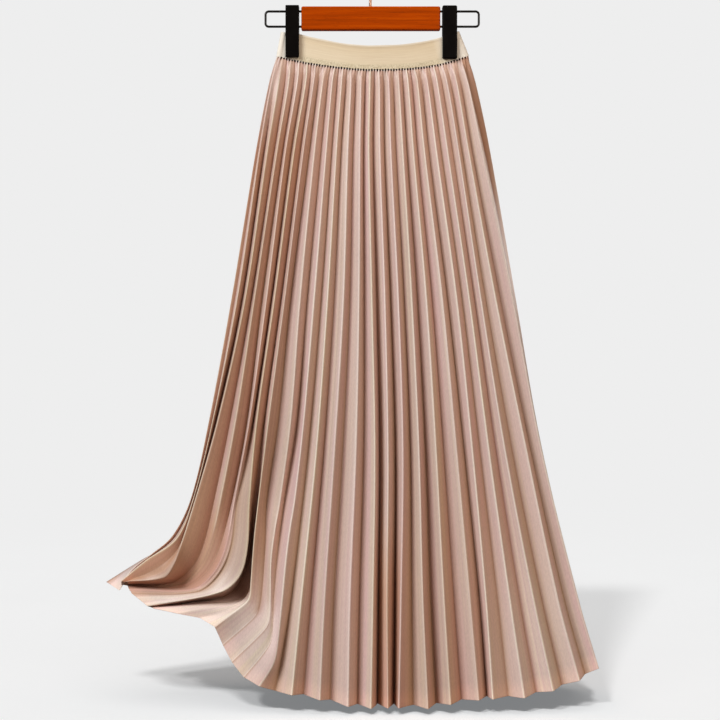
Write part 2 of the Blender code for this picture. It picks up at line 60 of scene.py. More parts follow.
# ---------------------------------------------------------------- the drawing
UNIT = 0.0014          # metres for each drawing unit
SEEN_FROM = 2.5        # metres from the waist's plane to the eye
EYE = (360.0, 360.0)   # the eye's height and side position on the drawing
STEM_AT = 370.4        # across: the hook's stem, x = 0
BAR_TOP_AT = 7.0       # down: the bar's top edge
BAR_TOP_Z = -0.075     # the same edge in metres

CLOTH = 0.0013         # thickness of the pleated cloth's wall
BAND = 0.0016          # thickness of the elastic
SEAM = 0.0003          # gap between pieces at a seam
BAND_HEIGHT = 24.6     # drawing units, about 34 mm
LENGTH_ROWS = (0.0, 0.022, 0.06, 0.15, 0.27, 0.39, 0.51, 0.62, 0.715, 0.79, 0.85, 0.90, 0.95, 1.0)

# Outline of the skirt if none of it were swept aside, by height on the drawing.
#        down  left   right  front  side   back   (front, side, back: depth in mm)
OUTLINE = (
    (60,   274.5, 470.5,  -4,    0,     4),
    (80,   268.5, 477.5,  -13,   1,     15),
    (150,  256.5, 491.0,  -27,   8,     43),
    (300,  231.0, 515.0,  -50,   28,    86),
    (450,  202.0, 543.0,  -72,   49,    122),
    (600,  175.0, 578.5,  -90,   68,    147),
    (709,  157.0, 604.0,  -101,  79,    160),
)

# One row for each hanging fold of the front, from the right edge of the sweep to the
# right side. across at four heights, then the hem's point; dip and low are where the
# valley right of the fold lies between this fold and the next, at the thigh and at the
# hem; deep is its depth in mm at the hem.
#        name   150  300  450  600  hem_across  hem_down  dip   low   deep
FRONT = (
    ("f08", 336.5, 327.5, 316.5, 301.3, 291.8, 695.5, 0.40, 0.40, 17),
    ("f09", 348, 343.5, 334.5, 324.5, 319.7, 700.5, 0.40, 0.37, 17),
    ("f10", 360, 359, 356, 350, 348, 707.0, 0.38, 0.40, 21),
    ("f11", 369, 372, 375, 373, 371, 709.0, 0.36, 0.38, 32),
    ("f12", 380, 385, 388, 387, 387.9, 708.6, 0.42, 0.60, 28),
    ("f13", 391, 398.5, 403, 401, 398.8, 708.6, 0.43, 0.52, 22),
    ("f14", 403, 412, 419, 423, 428, 709.3, 0.38, 0.40, 25),
    ("f15", 413.5, 426.5, 436, 444, 450.4, 705.0, 0.36, 0.40, 20),
    ("f16", 424.5, 442.5, 456.5, 470, 478.8, 700.6, 0.38, 0.66, 21),
    ("f17", 436.5, 457, 472.5, 486, 492.8, 699.6, 0.45, 0.52, 14),
    ("f18", 447.5, 469.5, 489, 510, 524.4, 698.4, 0.50, 0.44, 15),
    ("f19", 458.5, 481, 505, 533.5, 553, 691.4, 0.36, 0.38, 12),
    ("f20", 468.5, 496, 526.5, 558, 579.5, 681.0, 0.30, 0.36, 11),
    ("f21", 482, 513.2, 541.8, 578.8, 599, 668.5, 0.40, 0.50, 16),
)

# One row for each line of the part that is swept out to the left, seam first. across at
# the waist, 150, 300 and 420, then the bottom run as (across, down, depth) steps.
# kind r is the outside of a fold, v the inside, s a shallow inside, p a line on the
# flattened strip.
#   name   kind  waist  150    300    420    bottom run
SWEPT = (
    ("seam", "v", 277.3, 260.0, 236.5, 215.0,
        ((198, 500, 38), (178, 538, 38), (140, 561, 34), (106.5, 582.0, 30))),
    ("f00a", "r", 276.9, 256.2, 231.4, 209.2,
        ((190.8, 499, -48), (172.4, 536, -38), (150, 555.5, -24), (131, 570.5, -10), (119.5, 590.5, 4))),
    ("v00", "s", 277.6, 258.6, 235.0, 212.5,
        ((192.6, 500, -44), (175.8, 536, -34), (151.5, 557.5, -18), (132.5, 572.5, -8), (121.2, 587.0, 6))),
    ("f00", "r", 278.4, 260.0, 237.0, 213.0,
        ((192.5, 502, -56), (176.5, 539, -48), (146.5, 560, -28), (121.5, 581.0, -6))),
    ("v01", "v", 280.2, 264.6, 242.4, 216.6,
        ((193.4, 502, -52), (178.5, 548, -44), (158, 568, -34), (124.5, 582.3, -6))),
    ("f01", "r", 281.8, 267.5, 245.0, 218.0,
        ((194.2, 504, -56), (180.6, 546, -55), (173.6, 565, -50), (164, 577.6, -40), (127, 581.4, -18))),
    ("v02", "v", 287.0, 274.8, 251.6, 230.6,
        ((213, 507, -47), (203.6, 545, -44), (193.2, 566, -36), (171, 582.5, -10), (127.0, 584.4, 10))),
    ("f02", "r", 290.2, 277.2, 254.2, 235.6,
        ((219.0, 507, -60), (209.6, 545, -52), (199.2, 567.5, -38), (177, 585.0, -12), (127.5, 585.6, 10))),
    ("v03", "v", 295.3, 283.3, 262.4, 247.8,
        ((231.8, 503, -51), (218.6, 551, -55), (206.2, 573, -47), (184, 587.4, -22), (128.0, 586.4, 2))),
    ("f03", "r", 299.0, 285.8, 266.4, 249.6,
        ((234.2, 502, -65), (225.6, 547, -66), (213.6, 573, -62), (193, 589.0, -46), (129, 588.8, -22))),
    ("v04", "v", 304.0, 292.0, 272.0, 253.8,
        ((236.8, 502, -62), (230.6, 548, -67), (218.6, 574.6, -64), (198, 591.0, -54), (132, 593.5, -36))),
    ("f04", "r", 307.8, 294.3, 274.3, 257.0,
        ((249.9, 500, -66), (247.2, 550, -73), (239.6, 576.6, -74), (221, 592.0, -72), (147.5, 606.2, -50))),
    ("v05", "v", 311.8, 300.9, 281.4, 264.8,
        ((253.8, 500, -48), (250.0, 552, -24), (232, 592, -22), (190, 602.6, -34), (150.5, 606.8, -44))),
    ("p05a", "p", 313.0, 301.6, 282.2, 265.8,
        ((257.4, 500, -44), (253.4, 554, -30), (247.4, 592, -34), (240, 600.4, -46), (200, 604.0, -58), (154, 608.6, -60))),
    ("p05b", "p", 314.2, 302.2, 283.0, 266.8,
        ((258.3, 500, -52), (253.4, 554, -44), (249.4, 592, -50), (242, 602.0, -64), (212, 607.0, -72), (178, 613.8, -72))),
    ("p05c", "p", 315.3, 302.9, 283.8, 267.7,
        ((258.6, 500, -60), (253.2, 554, -58), (249.9, 594, -66), (245, 602.6, -74), (226, 611.8, -78), (200, 618.0, -76))),
    ("f05", "r", 316.4, 303.5, 284.5, 268.6,
        ((258.6, 500, -68), (254.3, 537, -74), (251.0, 580, -79), (250.0, 596, -81), (245.6, 603.2, -83), (214.8, 627.0, -86))),
    ("v06", "v", 321.0, 310.0, 290.4, 278.8,
        ((267.0, 500, -54), (265.6, 543, -64), (262.5, 585, -74), (259.0, 608, -81), (253.6, 617.4, -83), (222.7, 644.6, -79))),
    ("f06", "r", 325.6, 314.6, 300.0, 290.8,
        ((280.2, 500, -69), (275, 529, -75), (271.0, 560, -80), (270.2, 600, -84), (269.4, 620, -88), (264.6, 629.6, -89), (231.6, 661.5, -82))),
    ("v07", "v", 330.4, 321.4, 307.2, 297.2,
        ((284.6, 500, -60), (277.4, 557, -72), (273.6, 600, -81), (271.0, 640, -88), (264.0, 652.4, -89), (243.5, 677.0, -84))),
    ("f07", "r", 334.6, 326.2, 314.0, 303.8,
        ((294.6, 500, -77), (290, 528, -81), (286.2, 557, -85), (280.7, 614, -91), (276.3, 652, -94), (272.4, 665.6, -94), (259, 686.3, -90))),
)

# The right edge: a last valley, the fold that turns away behind it and the side seam, as
# (across, depth) at seven heights.
RIGHT_DOWN = (82, 150, 300, 450, 600, 663)
#   name    waist
RIGHT = (
    ("v21", 464.3, ((468.9, -3), (484.2, -8), (513.6, -22), (541.4, -32), (577.0, -40), (594.5, -44))),
    ("f22", 467.2, ((475.4, 2), (489.8, 1), (515.8, 0), (541.6, 4), (577.0, 12), (595.5, 18))),
    ("seam", 468.3, ((472.4, 9), (485.5, 20), (506.5, 38), (531, 54), (563.5, 70), (583, 80))),
)

# How soon the inner swept folds spread: share of the way to the hip at down = 82.
SPREAD = {
    "f01": 0.21, "v02": 0.15, "f02": 0.12, "v03": 0.12, "f03": 0.12, "v04": 0.13, "f04": 0.14,
    "v05": 0.17, "p05a": 0.18, "p05b": 0.19, "p05c": 0.20, "f05": 0.21, "v06": 0.24, "f06": 0.27,
    "v07": 0.28, "f07": 0.29,
}
SWEEP_FORWARD = 18     # mm that the swept hem also comes forward, fading over its last folds

# The hem of the back as a few stations; its folds are spread evenly between them.
#       share  across  down   depth
BACK_HEM = (
    (0.00, 583, 663, 80),
    (0.12, 552, 668, 122),
    (0.28, 500, 672, 154),
    (0.45, 420, 674, 162),
    (0.60, 345, 672, 156),
    (0.70, 296, 663, 142),
    (0.79, 255, 642, 124),
    (0.87, 213, 612, 98),
    (0.94, 160, 592, 62),
    (1.00, 106.5, 582.0, 30),
)
BACK_FOLDS = 21
BACK_DEEP = 15.0


def table(rows, at, column):
    """Smooth reading of a column of a table whose first column rises."""
    keys = [r[0] for r in rows]
    if at <= keys[0]:
        return rows[0][column]
    if at >= keys[-1]:
        return rows[-1][column]
    i = max(k for k in range(len(keys) - 1) if keys[k] <= at)

    def slope(k):
        a, b = max(k - 1, 0), min(k + 1, len(keys) - 1)
        return (rows[b][column] - rows[a][column]) / (keys[b] - keys[a])

    gap = keys[i + 1] - keys[i]
    s = (at - keys[i]) / gap
    return (
        (2 * s**3 - 3 * s**2 + 1) * rows[i][column]
        + (s**3 - 2 * s**2 + s) * gap * slope(i)
        + (-2 * s**3 + 3 * s**2) * rows[i + 1][column]
        + (s**3 - s**2) * gap * slope(i + 1)
    )


def place(across, down, depth):
    """A point of the drawing in metres."""
    y = depth * 0.001
    far = 1 + y / SEEN_FROM
    x = ((across - EYE[0]) * far + EYE[0] - STEM_AT) * UNIT
    z = BAR_TOP_Z - ((down - EYE[1]) * far + EYE[1] - BAR_TOP_AT) * UNIT
    return Vector((x, y, z))


def waist_down(across):
    """The elastic's lower edge, which sags between the clips."""
    q = min(abs(across - 371.5) / 96.0, 1.0)
    return 56.0 + 14.0 * (1 - q ** (1.65 if across < 371.5 else 2.6))


def band_height(across):
    """The elastic's height on the drawing: a little more where it leans by the left clip."""
    lean = min(1.0, max(0.0, across - 276.8) / 18) * min(1.0, max(0.0, 350 - across) / 55)
    return BAND_HEIGHT + 2.0 * lean


def waist_depth(across):
    """Half the depth of the waist's flat loop: open between the clips, pinched at them."""
    d = abs(across - 371.5)
    if d < 69:
        return 2.4 + 6.0 * (1 - (d / 69) ** 2)
    end = 94.75 if across < 371.5 else 97.05
    q = min(max(d - 90.0, 0.0) / (end - 90.0), 1.0)
    return 2.4 * math.sqrt(1 - q * q) + 0.7 * math.sin(math.pi * q)


def skin(across, down, back=False):
    """Depth of the smooth form that the folds stand on."""
    left, right, front, side, rear = (table(OUTLINE, down, c) for c in range(1, 6))
    q = (across - (left + right) / 2) / ((right - left) / 2)
    if back:
        return side + (rear - side) * math.sqrt(max(0.0, 1 - min(abs(q), 1.0) ** 2.15))
    return side + (front - side) * math.sqrt(1 - (0.8 * min(abs(q), 1.0)) ** 6)


def fold_depth(down, deep):
    """Depth of a fold, in mm: pressed flat at the waist, quickly full, then growing."""
    start = min(max((down - 58) / 16.0, 0.0), 1.0)
    return 1.0 + 6.4 * start + (deep - 7.4) * max(0.0, (down - 74) / 635.0)


def run_through(points, shares):
    """A smooth line through points, read at shares of its length."""
    fine = []
    count = len(points)
    steps = [0.0]
    for a, b in zip(points, points[1:]):
        steps.append(steps[-1] + (b - a).length)

    def slope(k):
        a, b = max(k - 1, 0), min(k + 1, count - 1)
        return (points[b] - points[a]) / (steps[b] - steps[a])

    for i in range(count - 1):
        gap = steps[i + 1] - steps[i]
        m0, m1 = slope(i) * gap, slope(i + 1) * gap
        for n in range(24):
            s = n / 24
            fine.append(
                points[i] * (2 * s**3 - 3 * s**2 + 1) + m0 * (s**3 - 2 * s**2 + s)
                + points[i + 1] * (-2 * s**3 + 3 * s**2) + m1 * (s**3 - s**2)
            )
    fine.append(points[-1])
    walked = [0.0]
    for a, b in zip(fine, fine[1:]):
        walked.append(walked[-1] + (b - a).length)
    out, i = [], 0
    for share in shares:
        want = share * walked[-1]
        while i < len(fine) - 2 and walked[i + 1] < want:
            i += 1
        part = (want - walked[i]) / (walked[i + 1] - walked[i])
        out.append(fine[i].lerp(fine[i + 1], min(max(part, 0.0), 1.0)))
    return out


# ---------------------------------------------------------------- the fold lines


def flare(waist, hip):
    """Where a fold has got to just under the waist: the outer ones spread sooner."""
    return waist + (hip - waist) * (0.24 + 0.13 * (abs(waist - 371.5) / 96.0) ** 3)


def waist_point(across, back=False, inward=0.0):
    depth = waist_depth(across) - inward
    return place(across, waist_down(across) + 1.5 * SEAM / UNIT, depth if back else -depth)


def swept_line(row):
    name, kind, waist, hip, thigh, knee, run = row
    inner = {"r": 0.0, "v": 1.0, "s": 0.3, "p": 0.5}[kind]
    points = [waist_point(waist, back=(name == "seam"), inward=0.5 * inner)]
    inner = {"p05a": 0.75, "p05c": 0.25}.get(name, inner)
    if name == "seam":
        depths = (14, 24, 44, 58)
    else:
        depths = [skin(a, d) + inner * fold_depth(d, 21) for a, d in ((waist, 82), (hip, 150), (thigh, 300), (knee, 420))]
    first = waist + (hip - waist) * SPREAD[name] if name in SPREAD else flare(waist, hip)
    if name in ("v00", "v01"):
        depths[0] = skin(waist, 82) + 1.6
    for across, down, depth in zip((first, hip, thigh, knee), (82, 150, 300, 420), depths):
        points.append(place(across, down, depth))
    forward = SWEEP_FORWARD * min(1.0, max(0, len(SWEPT) - 6 - SWEPT.index(row)) / 5)
    for i, (across, down, depth) in enumerate(run):
        points.append(place(across, down, depth - forward * ((i + 1) / len(run)) ** 1.5))
    return points


def ridge_line(index):
    row = FRONT[index]
    waist = 343.4 + 9.0 * index
    hem_across, hem_down = row[5], row[6]
    points = [waist_point(waist)]
    points.append(place(flare(waist, row[1]), 82, skin(waist, 82)))
    for across, down in zip(row[1:5], (150, 300, 450, 600)):
        points.append(place(across, down, skin(across, down)))
    points.append(place(hem_across, hem_down, skin(hem_across, hem_down)))
    return points


def valley_line(here, after, dip, low, deep, down_hem, rise=0.0014):
    """Between two folds, point by point, pushed in by the fold's depth."""
    points = []
    count = len(here)
    for i, (a, b) in enumerate(zip(here, after)):
        part = 0.5 + (dip - 0.5) * min(1.0, i / 2) + (low - dip) * min(max(i - 3, 0) / 2, 1.0)
        p = a.lerp(b, part)
        down = 60 + (down_hem - 60) * i / (count - 1)
        push = 0.5 if i == 0 else fold_depth((82, 150, 300, 450, 600, down_hem)[min(i, count - 1) - 1], deep)
        p.y += push * 0.001
        p.x += 0.25 * (b - a).normalized().y * -push * 0.001
        points.append(p)
    points[-1].z += rise
    return points


def front_lines():
    lines = [swept_line(r) for r in SWEPT]
    ridges = [ridge_line(i) for i in range(len(FRONT))]
    # the valley between the sweep's last fold and the first hanging one
    hang = [place(a, d, skin(a, d)) for a, d in ((327, 150), (314.5, 300), (301, 450), (283.5, 600))]
    last = [waist_point(334.6), place(332.4, 82, skin(332.4, 82))] + hang + [place(262, 686, -94)]
    lines.append(valley_line(last, ridges[0], 0.52, 0.42, 16, 690, -0.004))
    for i, ridge in enumerate(ridges):
        lines.append(ridge)
        if i + 1 < len(ridges):
            dip, low, deep = FRONT[i][7:]
            lines.append(valley_line(ridge, ridges[i + 1], dip, low, deep, FRONT[i][6]))
    for name, waist, run in RIGHT:
        points = [waist_point(waist, back=(name == "seam"))]
        points += [place(across, down, depth) for (across, depth), down in zip(run, RIGHT_DOWN)]
        lines.append(points)
    return lines


def back_rows(right_seam, left_seam):
    """The back, row by row: straight falls from waist to hem, eased on to both seams."""
    count = BACK_FOLDS * 2 + 1
    waist_right, waist_left = right_seam[0], left_seam[0]
    hem_right, hem_left = right_seam[-1], left_seam[-1]
    rows = []
    for t, at_right, at_left in zip(LENGTH_ROWS, right_seam, left_seam):
        row = [at_right]
        for i in range(count):
            s = (i + 1) / (count + 1)
            share = s - 0.045 * math.sin(2 * math.pi * s)
            top = waist_point(468.3 + (277.3 - 468.3) * share, back=True)
            hem = place(*(table(BACK_HEM, share, c) for c in (1, 2, 3)))
            fall = t + 0.35 * t * (1 - t) ** 3
            p = top.lerp(hem, t)
            p.y = top.y + (hem.y - top.y) * fall
            p += (at_right - waist_right.lerp(hem_right, t)) * (1 - share) ** 4
            p += (at_left - waist_left.lerp(hem_left, t)) * share**4
            if i % 2:
                fade = min(1.0, 7 * share, 7 * (1 - share))
                push = (0.6 + (BACK_DEEP - 0.6) * min(1.0, 0.42 * min(t / 0.04, 1.0) + 0.58 * t)) * 0.001 * fade
                lean = (share - 0.5) * 0.9
                p += push * Vector((lean, -math.sqrt(1 - lean * lean), 0))
            row.append(p)
        row.append(at_left)
        rows.append(row)
    return rows



# ---------------------------------------------------------------- camera
cam_data = bpy.data.cameras.new("camera")
camera = bpy.data.objects.new("camera", cam_data)
bpy.context.scene.collection.objects.link(camera)
bpy.context.scene.camera = camera
camera.location = ((EYE[0] - STEM_AT) * UNIT, -SEEN_FROM, BAR_TOP_Z - (EYE[1] - BAR_TOP_AT) * UNIT)
camera.rotation_euler = (math.radians(90), 0, 0)
cam_data.sensor_width = 36.0
cam_data.lens = 36.0 * SEEN_FROM / (720 * UNIT)
cam_data.clip_end = 60.0

# ---------------------------------------------------------------- materials


class Nodes:
    """Short hand for building a node material."""

    def __init__(self, name):
        self.mat = bpy.data.materials.new(name)
        self.mat.use_nodes = True
        self.tree = self.mat.node_tree
        self.shader = self.tree.nodes["Principled BSDF"]

    def add(self, kind, **settings):
        made = self.tree.nodes.new(kind)
        for key, value in settings.items():
            if key.startswith("in_"):
                name = key[3:].replace("_", " ")
                made.inputs[name].default_value = value
            else:
                setattr(made, key, value)
        return made

    def link(self, a, b):
        self.tree.links.new(a, b)

    def set(self, **values):
        for key, value in values.items():
            self.shader.inputs[key.replace("_", " ")].default_value = value

    def mapped(self, source, scale):
        move = self.add("ShaderNodeMapping")
        move.inputs["Scale"].default_value = scale
        self.link(source, move.inputs["Vector"])
        return move.outputs["Vector"]

    def noise(self, source, scale, detail=2.0, rough=0.5):
        tex = self.add("ShaderNodeTexNoise")
        tex.inputs["Scale"].default_value = scale
        tex.inputs["Detail"].default_value = detail
        tex.inputs["Roughness"].default_value = rough
        self.link(source, tex.inputs["Vector"])
        return tex.outputs["Fac"]

    def ramp(self, source, stops):
        tex = self.add("ShaderNodeValToRGB")
        ramp = tex.color_ramp
        while len(ramp.elements) < len(stops):
            ramp.elements.new(0.5)
        for element, (at, colour) in zip(ramp.elements, stops):
            element.position = at
            element.color = (*colour, 1) if len(colour) == 3 else colour
        self.link(source, tex.inputs["Fac"])
        return tex.outputs["Color"]

    def mix(self, factor, a, b, blend="MIX"):
        tex = self.add("ShaderNodeMix", data_type="RGBA", blend_type=blend)
        for value, socket in ((factor, tex.inputs["Factor"]), (a, tex.inputs["A"]), (b, tex.inputs["B"])):
            if isinstance(value, (float, int)):
                socket.default_value = value
            elif isinstance(value, tuple):
                socket.default_value = (*value, 1)
            else:
                self.link(value, socket)
        return tex.outputs["Result"]

    def bump(self, height, strength, distance, after=None):
        tex = self.add("ShaderNodeBump")
        tex.inputs["Strength"].default_value = strength
        tex.inputs["Distance"].default_value = distance
        self.link(height, tex.inputs["Height"])
        if after is not None:
            self.link(after, tex.inputs["Normal"])
        return tex.outputs["Normal"]

    def maths(self, operation, a, b=None, clamp=False):
        tex = self.add("ShaderNodeMath", operation=operation, use_clamp=clamp)
        for value, socket in zip((a, b), tex.inputs):
            if value is None:
                continue
            if isinstance(value, (float, int)):
                socket.default_value = value
            else:
                self.link(value, socket)
        return tex.outputs["Value"]


def satin(name, light, shade, gloss):
    """Pleated satin, with light and shade painted into its colour. cloth = (which face, share of the length,
    nearness to a pressed outer edge); the nearness paints shade in the creases and a highlight along the
    pressed edges. side is 1 on the faces that rise to an edge from the left, which get the painted lit
    colours, and -1 on the others, which get the painted shaded colours."""
    n = Nodes(name)
    cloth = n.add("ShaderNodeAttribute", attribute_name="cloth").outputs["Vector"]
    split = n.add("ShaderNodeSeparateXYZ")
    n.link(cloth, split.inputs["Vector"])
    side = n.add("ShaderNodeAttribute", attribute_name="side").outputs["Fac"]
    place_at = n.add("ShaderNodeTexCoord").outputs["Object"]
    broad = n.noise(n.mapped(cloth, (0.8, 2.0, 0.0)), 1.0, 2.0)
    streak = n.noise(n.mapped(cloth, (6.0, 0.9, 0.0)), 1.0, 3.0, 0.6)
    by_face = n.noise(n.mapped(cloth, (1.7, 0.5, 0.0)), 1.0, 1.0)
    hue = n.maths("ADD", n.maths("MULTIPLY", broad, 0.3), n.maths("ADD", n.maths("MULTIPLY", by_face, 0.4), n.maths("MULTIPLY", streak, 0.3)))
    near = split.outputs["Z"]
    soft = n.maths("ADD", near, n.maths("MULTIPLY", n.maths("SUBTRACT", streak, 0.5), 0.10))
    # painted light and shade: each face runs from a dark painted crease to a painted highlight at its edge, in a lit
    # copy and a shaded copy of the colours
    painted_lit = n.ramp(soft, light)
    painted_dim = n.ramp(soft, shade)
    # painted shade: deep folds are painted warmer and darker, their shaded sides most
    deep = n.add("ShaderNodeAttribute", attribute_name="deep").outputs["Fac"]
    more = n.maths("MAXIMUM", deep, 0.0)
    # painted light: where deep is below 0, the open laid-down cloth is painted paler, away from the creases
    open_part = n.ramp(near, ((0.06, (0.0, 0.0, 0.0)), (0.34, (1.0, 1.0, 1.0))))
    pale = n.maths("MULTIPLY", n.maths("MAXIMUM", n.maths("MULTIPLY", deep, -1.0), 0.0), open_part)
    painted_dim = n.mix(more, painted_dim, n.mix(1.0, painted_dim, (0.80, 0.66, 0.53), "MULTIPLY"))
    painted_lit = n.mix(n.maths("MULTIPLY", more, 0.6), painted_lit, n.mix(1.0, painted_lit, (0.96, 0.89, 0.81), "MULTIPLY"))
    colour = n.mix(n.maths("ADD", n.maths("MULTIPLY", side, 0.5), 0.5), painted_dim, painted_lit)
    colour = n.mix(n.maths("MULTIPLY", pale, 0.92), colour, (1.0, 0.905, 0.85))
    # painted light and shade: lower down, all colours are pulled a little towards one mid tone, standing in for light
    # scattered between the open folds
    colour = n.mix(n.ramp(split.outputs["Y"], ((0.12, (0.0, 0.0, 0.0)), (0.30, (0.11, 0.11, 0.11)))), colour, (0.60, 0.43, 0.36))
    # every face has its own strength of shade, and streaks that run down it
    own = n.noise(n.mapped(cloth, (0.62, 0.35, 0.0)), 1.0, 1.0)
    strength = n.maths("ADD", n.maths("MULTIPLY", own, 0.5), n.maths("MULTIPLY", streak, 0.5))
    colour = n.mix(1.0, colour, n.ramp(strength, ((0.34, (0.88, 0.865, 0.85)), (0.5, (1.0, 1.0, 1.0)), (0.66, (1.09, 1.10, 1.11)))), "MULTIPLY")
    # some faces are pinker, some creamier
    colour = n.mix(1.0, colour, n.ramp(hue, ((0.37, (1.03, 0.94, 1.02)), (0.5, (1.0, 1.0, 1.0)), (0.63, (0.985, 1.03, 0.925)))), "MULTIPLY")
    # painted shade: a few percent darker over the middle of the length
    colour = n.mix(1.0, colour, n.ramp(split.outputs["Y"], ((0.10, (1.0, 1.0, 1.0)), (0.30, (0.948, 0.945, 0.955)), (0.62, (0.950, 0.948, 0.955)), (0.80, (1.0, 1.0, 1.0)))), "MULTIPLY")
    # painted highlight: the last few millimetres above the hem are painted lighter, where its turned edge is a little
    # thicker
    colour = n.mix(1.0, colour, n.ramp(split.outputs["Y"], ((0.0, (1.0, 1.0, 1.0)), (0.972, (1.0, 1.0, 1.0)), (0.994, (1.22, 1.16, 1.12)))), "MULTIPLY")
    fine = n.noise(n.mapped(place_at, (1.0, 1.0, 0.25)), 900.0, 2.0)
    colour = n.mix(1.0, colour, n.ramp(fine, ((0.30, (0.93, 0.93, 0.93)), (0.70, (1.06, 1.06, 1.06)))), "MULTIPLY")
    n.link(colour, n.shader.inputs["Base Color"])
    rough = n.maths("ADD", n.maths("MULTIPLY", streak, 0.16), gloss - 0.08)
    n.link(rough, n.shader.inputs["Roughness"])
    weave = n.add("ShaderNodeTexWave", wave_type="BANDS", bands_direction="DIAGONAL")
    weave.inputs["Scale"].default_value = 420.0
    weave.inputs["Distortion"].default_value = 1.5
    n.link(place_at, weave.inputs["Vector"])
    slack = n.noise(n.mapped(cloth, (2.6, 16.0, 0.0)), 1.0, 3.0)
    normal = n.bump(weave.outputs["Fac"], 0.10, 0.0002)
    normal = n.bump(slack, 0.16, 0.0014, normal)
    n.link(normal, n.shader.inputs["Normal"])
    n.set(Sheen_Weight=0.15, Sheen_Roughness=0.45, Specular_IOR_Level=0.4)
    return n.mat


# Painted light and shade: the colours of a face lit from the left and of a face in shade, from a dark painted crease
# (0) to a painted highlight at the pressed edge (0.97).
PAINTED_LIT_FACES = ((0.00, (0.430, 0.265, 0.190)), (0.10, (0.590, 0.415, 0.350)), (0.34, (0.665, 0.505, 0.455)), (0.70, (0.690, 0.545, 0.490)), (0.83, (0.785, 0.670, 0.605)), (0.97, (0.955, 0.880, 0.795)))
PAINTED_SHADED_FACES = ((0.00, (0.400, 0.205, 0.120)), (0.14, (0.590, 0.375, 0.270)), (0.45, (0.700, 0.470, 0.365)), (0.76, (0.740, 0.510, 0.415)), (0.86, (0.795, 0.612, 0.530)), (0.97, (0.950, 0.865, 0.770)))
satin_front = satin("satin_front", PAINTED_LIT_FACES, PAINTED_SHADED_FACES, 0.42)
satin_back = satin("satin_back", PAINTED_LIT_FACES, PAINTED_SHADED_FACES, 0.44)


def elastic_cloth():
    n = Nodes("elastic")
    band = n.add("ShaderNodeAttribute", attribute_name="band").outputs["Vector"]
    split = n.add("ShaderNodeSeparateXYZ")
    n.link(band, split.inputs["Vector"])
    place_at = n.add("ShaderNodeTexCoord").outputs["Object"]
    # painted highlight and shade: a pale line is painted along the top rim with a darker line just under it; the colour
    # also darkens a little towards the bottom edge
    base = n.ramp(split.outputs["Y"], (
        (0.0, (0.84, 0.74, 0.54)), (0.10, (0.93, 0.82, 0.60)), (0.45, (0.95, 0.83, 0.61)),
        (0.80, (0.90, 0.76, 0.53)), (0.925, (0.72, 0.58, 0.38)), (0.955, (0.94, 0.88, 0.74)), (1.0, (0.90, 0.85, 0.74)),
    ))
    lines = n.noise(n.mapped(band, (2.0, 26.0, 0.0)), 1.0, 3.0, 0.65)
    colour = n.mix(0.35, base, n.ramp(lines, ((0.3, (0.72, 0.58, 0.38)), (0.7, (0.97, 0.88, 0.66)))))
    stipple = n.noise(n.mapped(place_at, (1.0, 1.0, 0.7)), 620.0, 2.0, 0.7)
    low = n.ramp(split.outputs["Y"], ((0.0, (1, 1, 1)), (0.16, (1, 1, 1)), (0.26, (0, 0, 0))))
    spots = n.ramp(stipple, ((0.36, (0.50, 0.42, 0.24)), (0.66, (0.97, 0.90, 0.68))))
    colour = n.mix(n.maths("MULTIPLY", low, 0.55), colour, spots)
    # painted light: the elastic is painted paler towards the clips
    apart = n.maths("ABSOLUTE", n.maths("SUBTRACT", split.outputs["X"], 371.5 * UNIT * 10))
    painted_light_by_clip = n.ramp(n.maths("DIVIDE", apart, 96.0 * UNIT * 10), ((0.70, (0, 0, 0)), (0.92, (1, 1, 1))))
    colour = n.mix(n.maths("MULTIPLY", painted_light_by_clip, 0.85), colour, (1.0, 0.97, 0.88))
    n.link(colour, n.shader.inputs["Base Color"])
    ribs = n.maths("SINE", n.maths("MULTIPLY", split.outputs["Y"], 150.0))
    knit = n.maths("SINE", n.maths("MULTIPLY", split.outputs["X"], 900.0))
    normal = n.bump(n.maths("ADD", n.maths("MULTIPLY", ribs, 0.5), n.maths("MULTIPLY", knit, 0.25)), 0.35, 0.0003)
    normal = n.bump(stipple, 0.3, 0.0004, normal)
    n.link(normal, n.shader.inputs["Normal"])
    n.link(n.maths("ADD", n.maths("MULTIPLY", lines, 0.2), 0.42), n.shader.inputs["Roughness"])
    n.set(Sheen_Weight=0.2, Specular_IOR_Level=0.35)
    return n.mat


elastic = elastic_cloth()


def varnished_wood():
    n = Nodes("wood")
    place_at = n.add("ShaderNodeTexCoord").outputs["Object"]
    grain = n.noise(n.mapped(place_at, (4.0, 60.0, 150.0)), 1.6, 5.0, 0.6)
    broad = n.noise(n.mapped(place_at, (6.0, 20.0, 40.0)), 1.0, 2.0)
    pores = n.noise(n.mapped(place_at, (60.0, 400.0, 1400.0)), 1.0, 2.0, 0.6)
    colour = n.ramp(grain, ((0.30, (0.34, 0.046, 0.0004)), (0.52, (0.52, 0.066, 0.0004)), (0.72, (0.66, 0.110, 0.0008))))
    colour = n.mix(n.maths("MULTIPLY", broad, 0.4), colour, (0.44, 0.052, 0.0004))
    colour = n.mix(n.maths("MULTIPLY", n.ramp(pores, ((0.60, (0, 0, 0)), (0.72, (1, 1, 1)))), 0.45), colour, (0.12, 0.018, 0.002))
    n.link(colour, n.shader.inputs["Base Color"])
    n.link(n.bump(grain, 0.15, 0.0004), n.shader.inputs["Normal"])
    n.link(n.maths("ADD", n.maths("MULTIPLY", pores, 0.15), 0.28), n.shader.inputs["Roughness"])
    n.set(Specular_IOR_Level=0.04)
    return n.mat


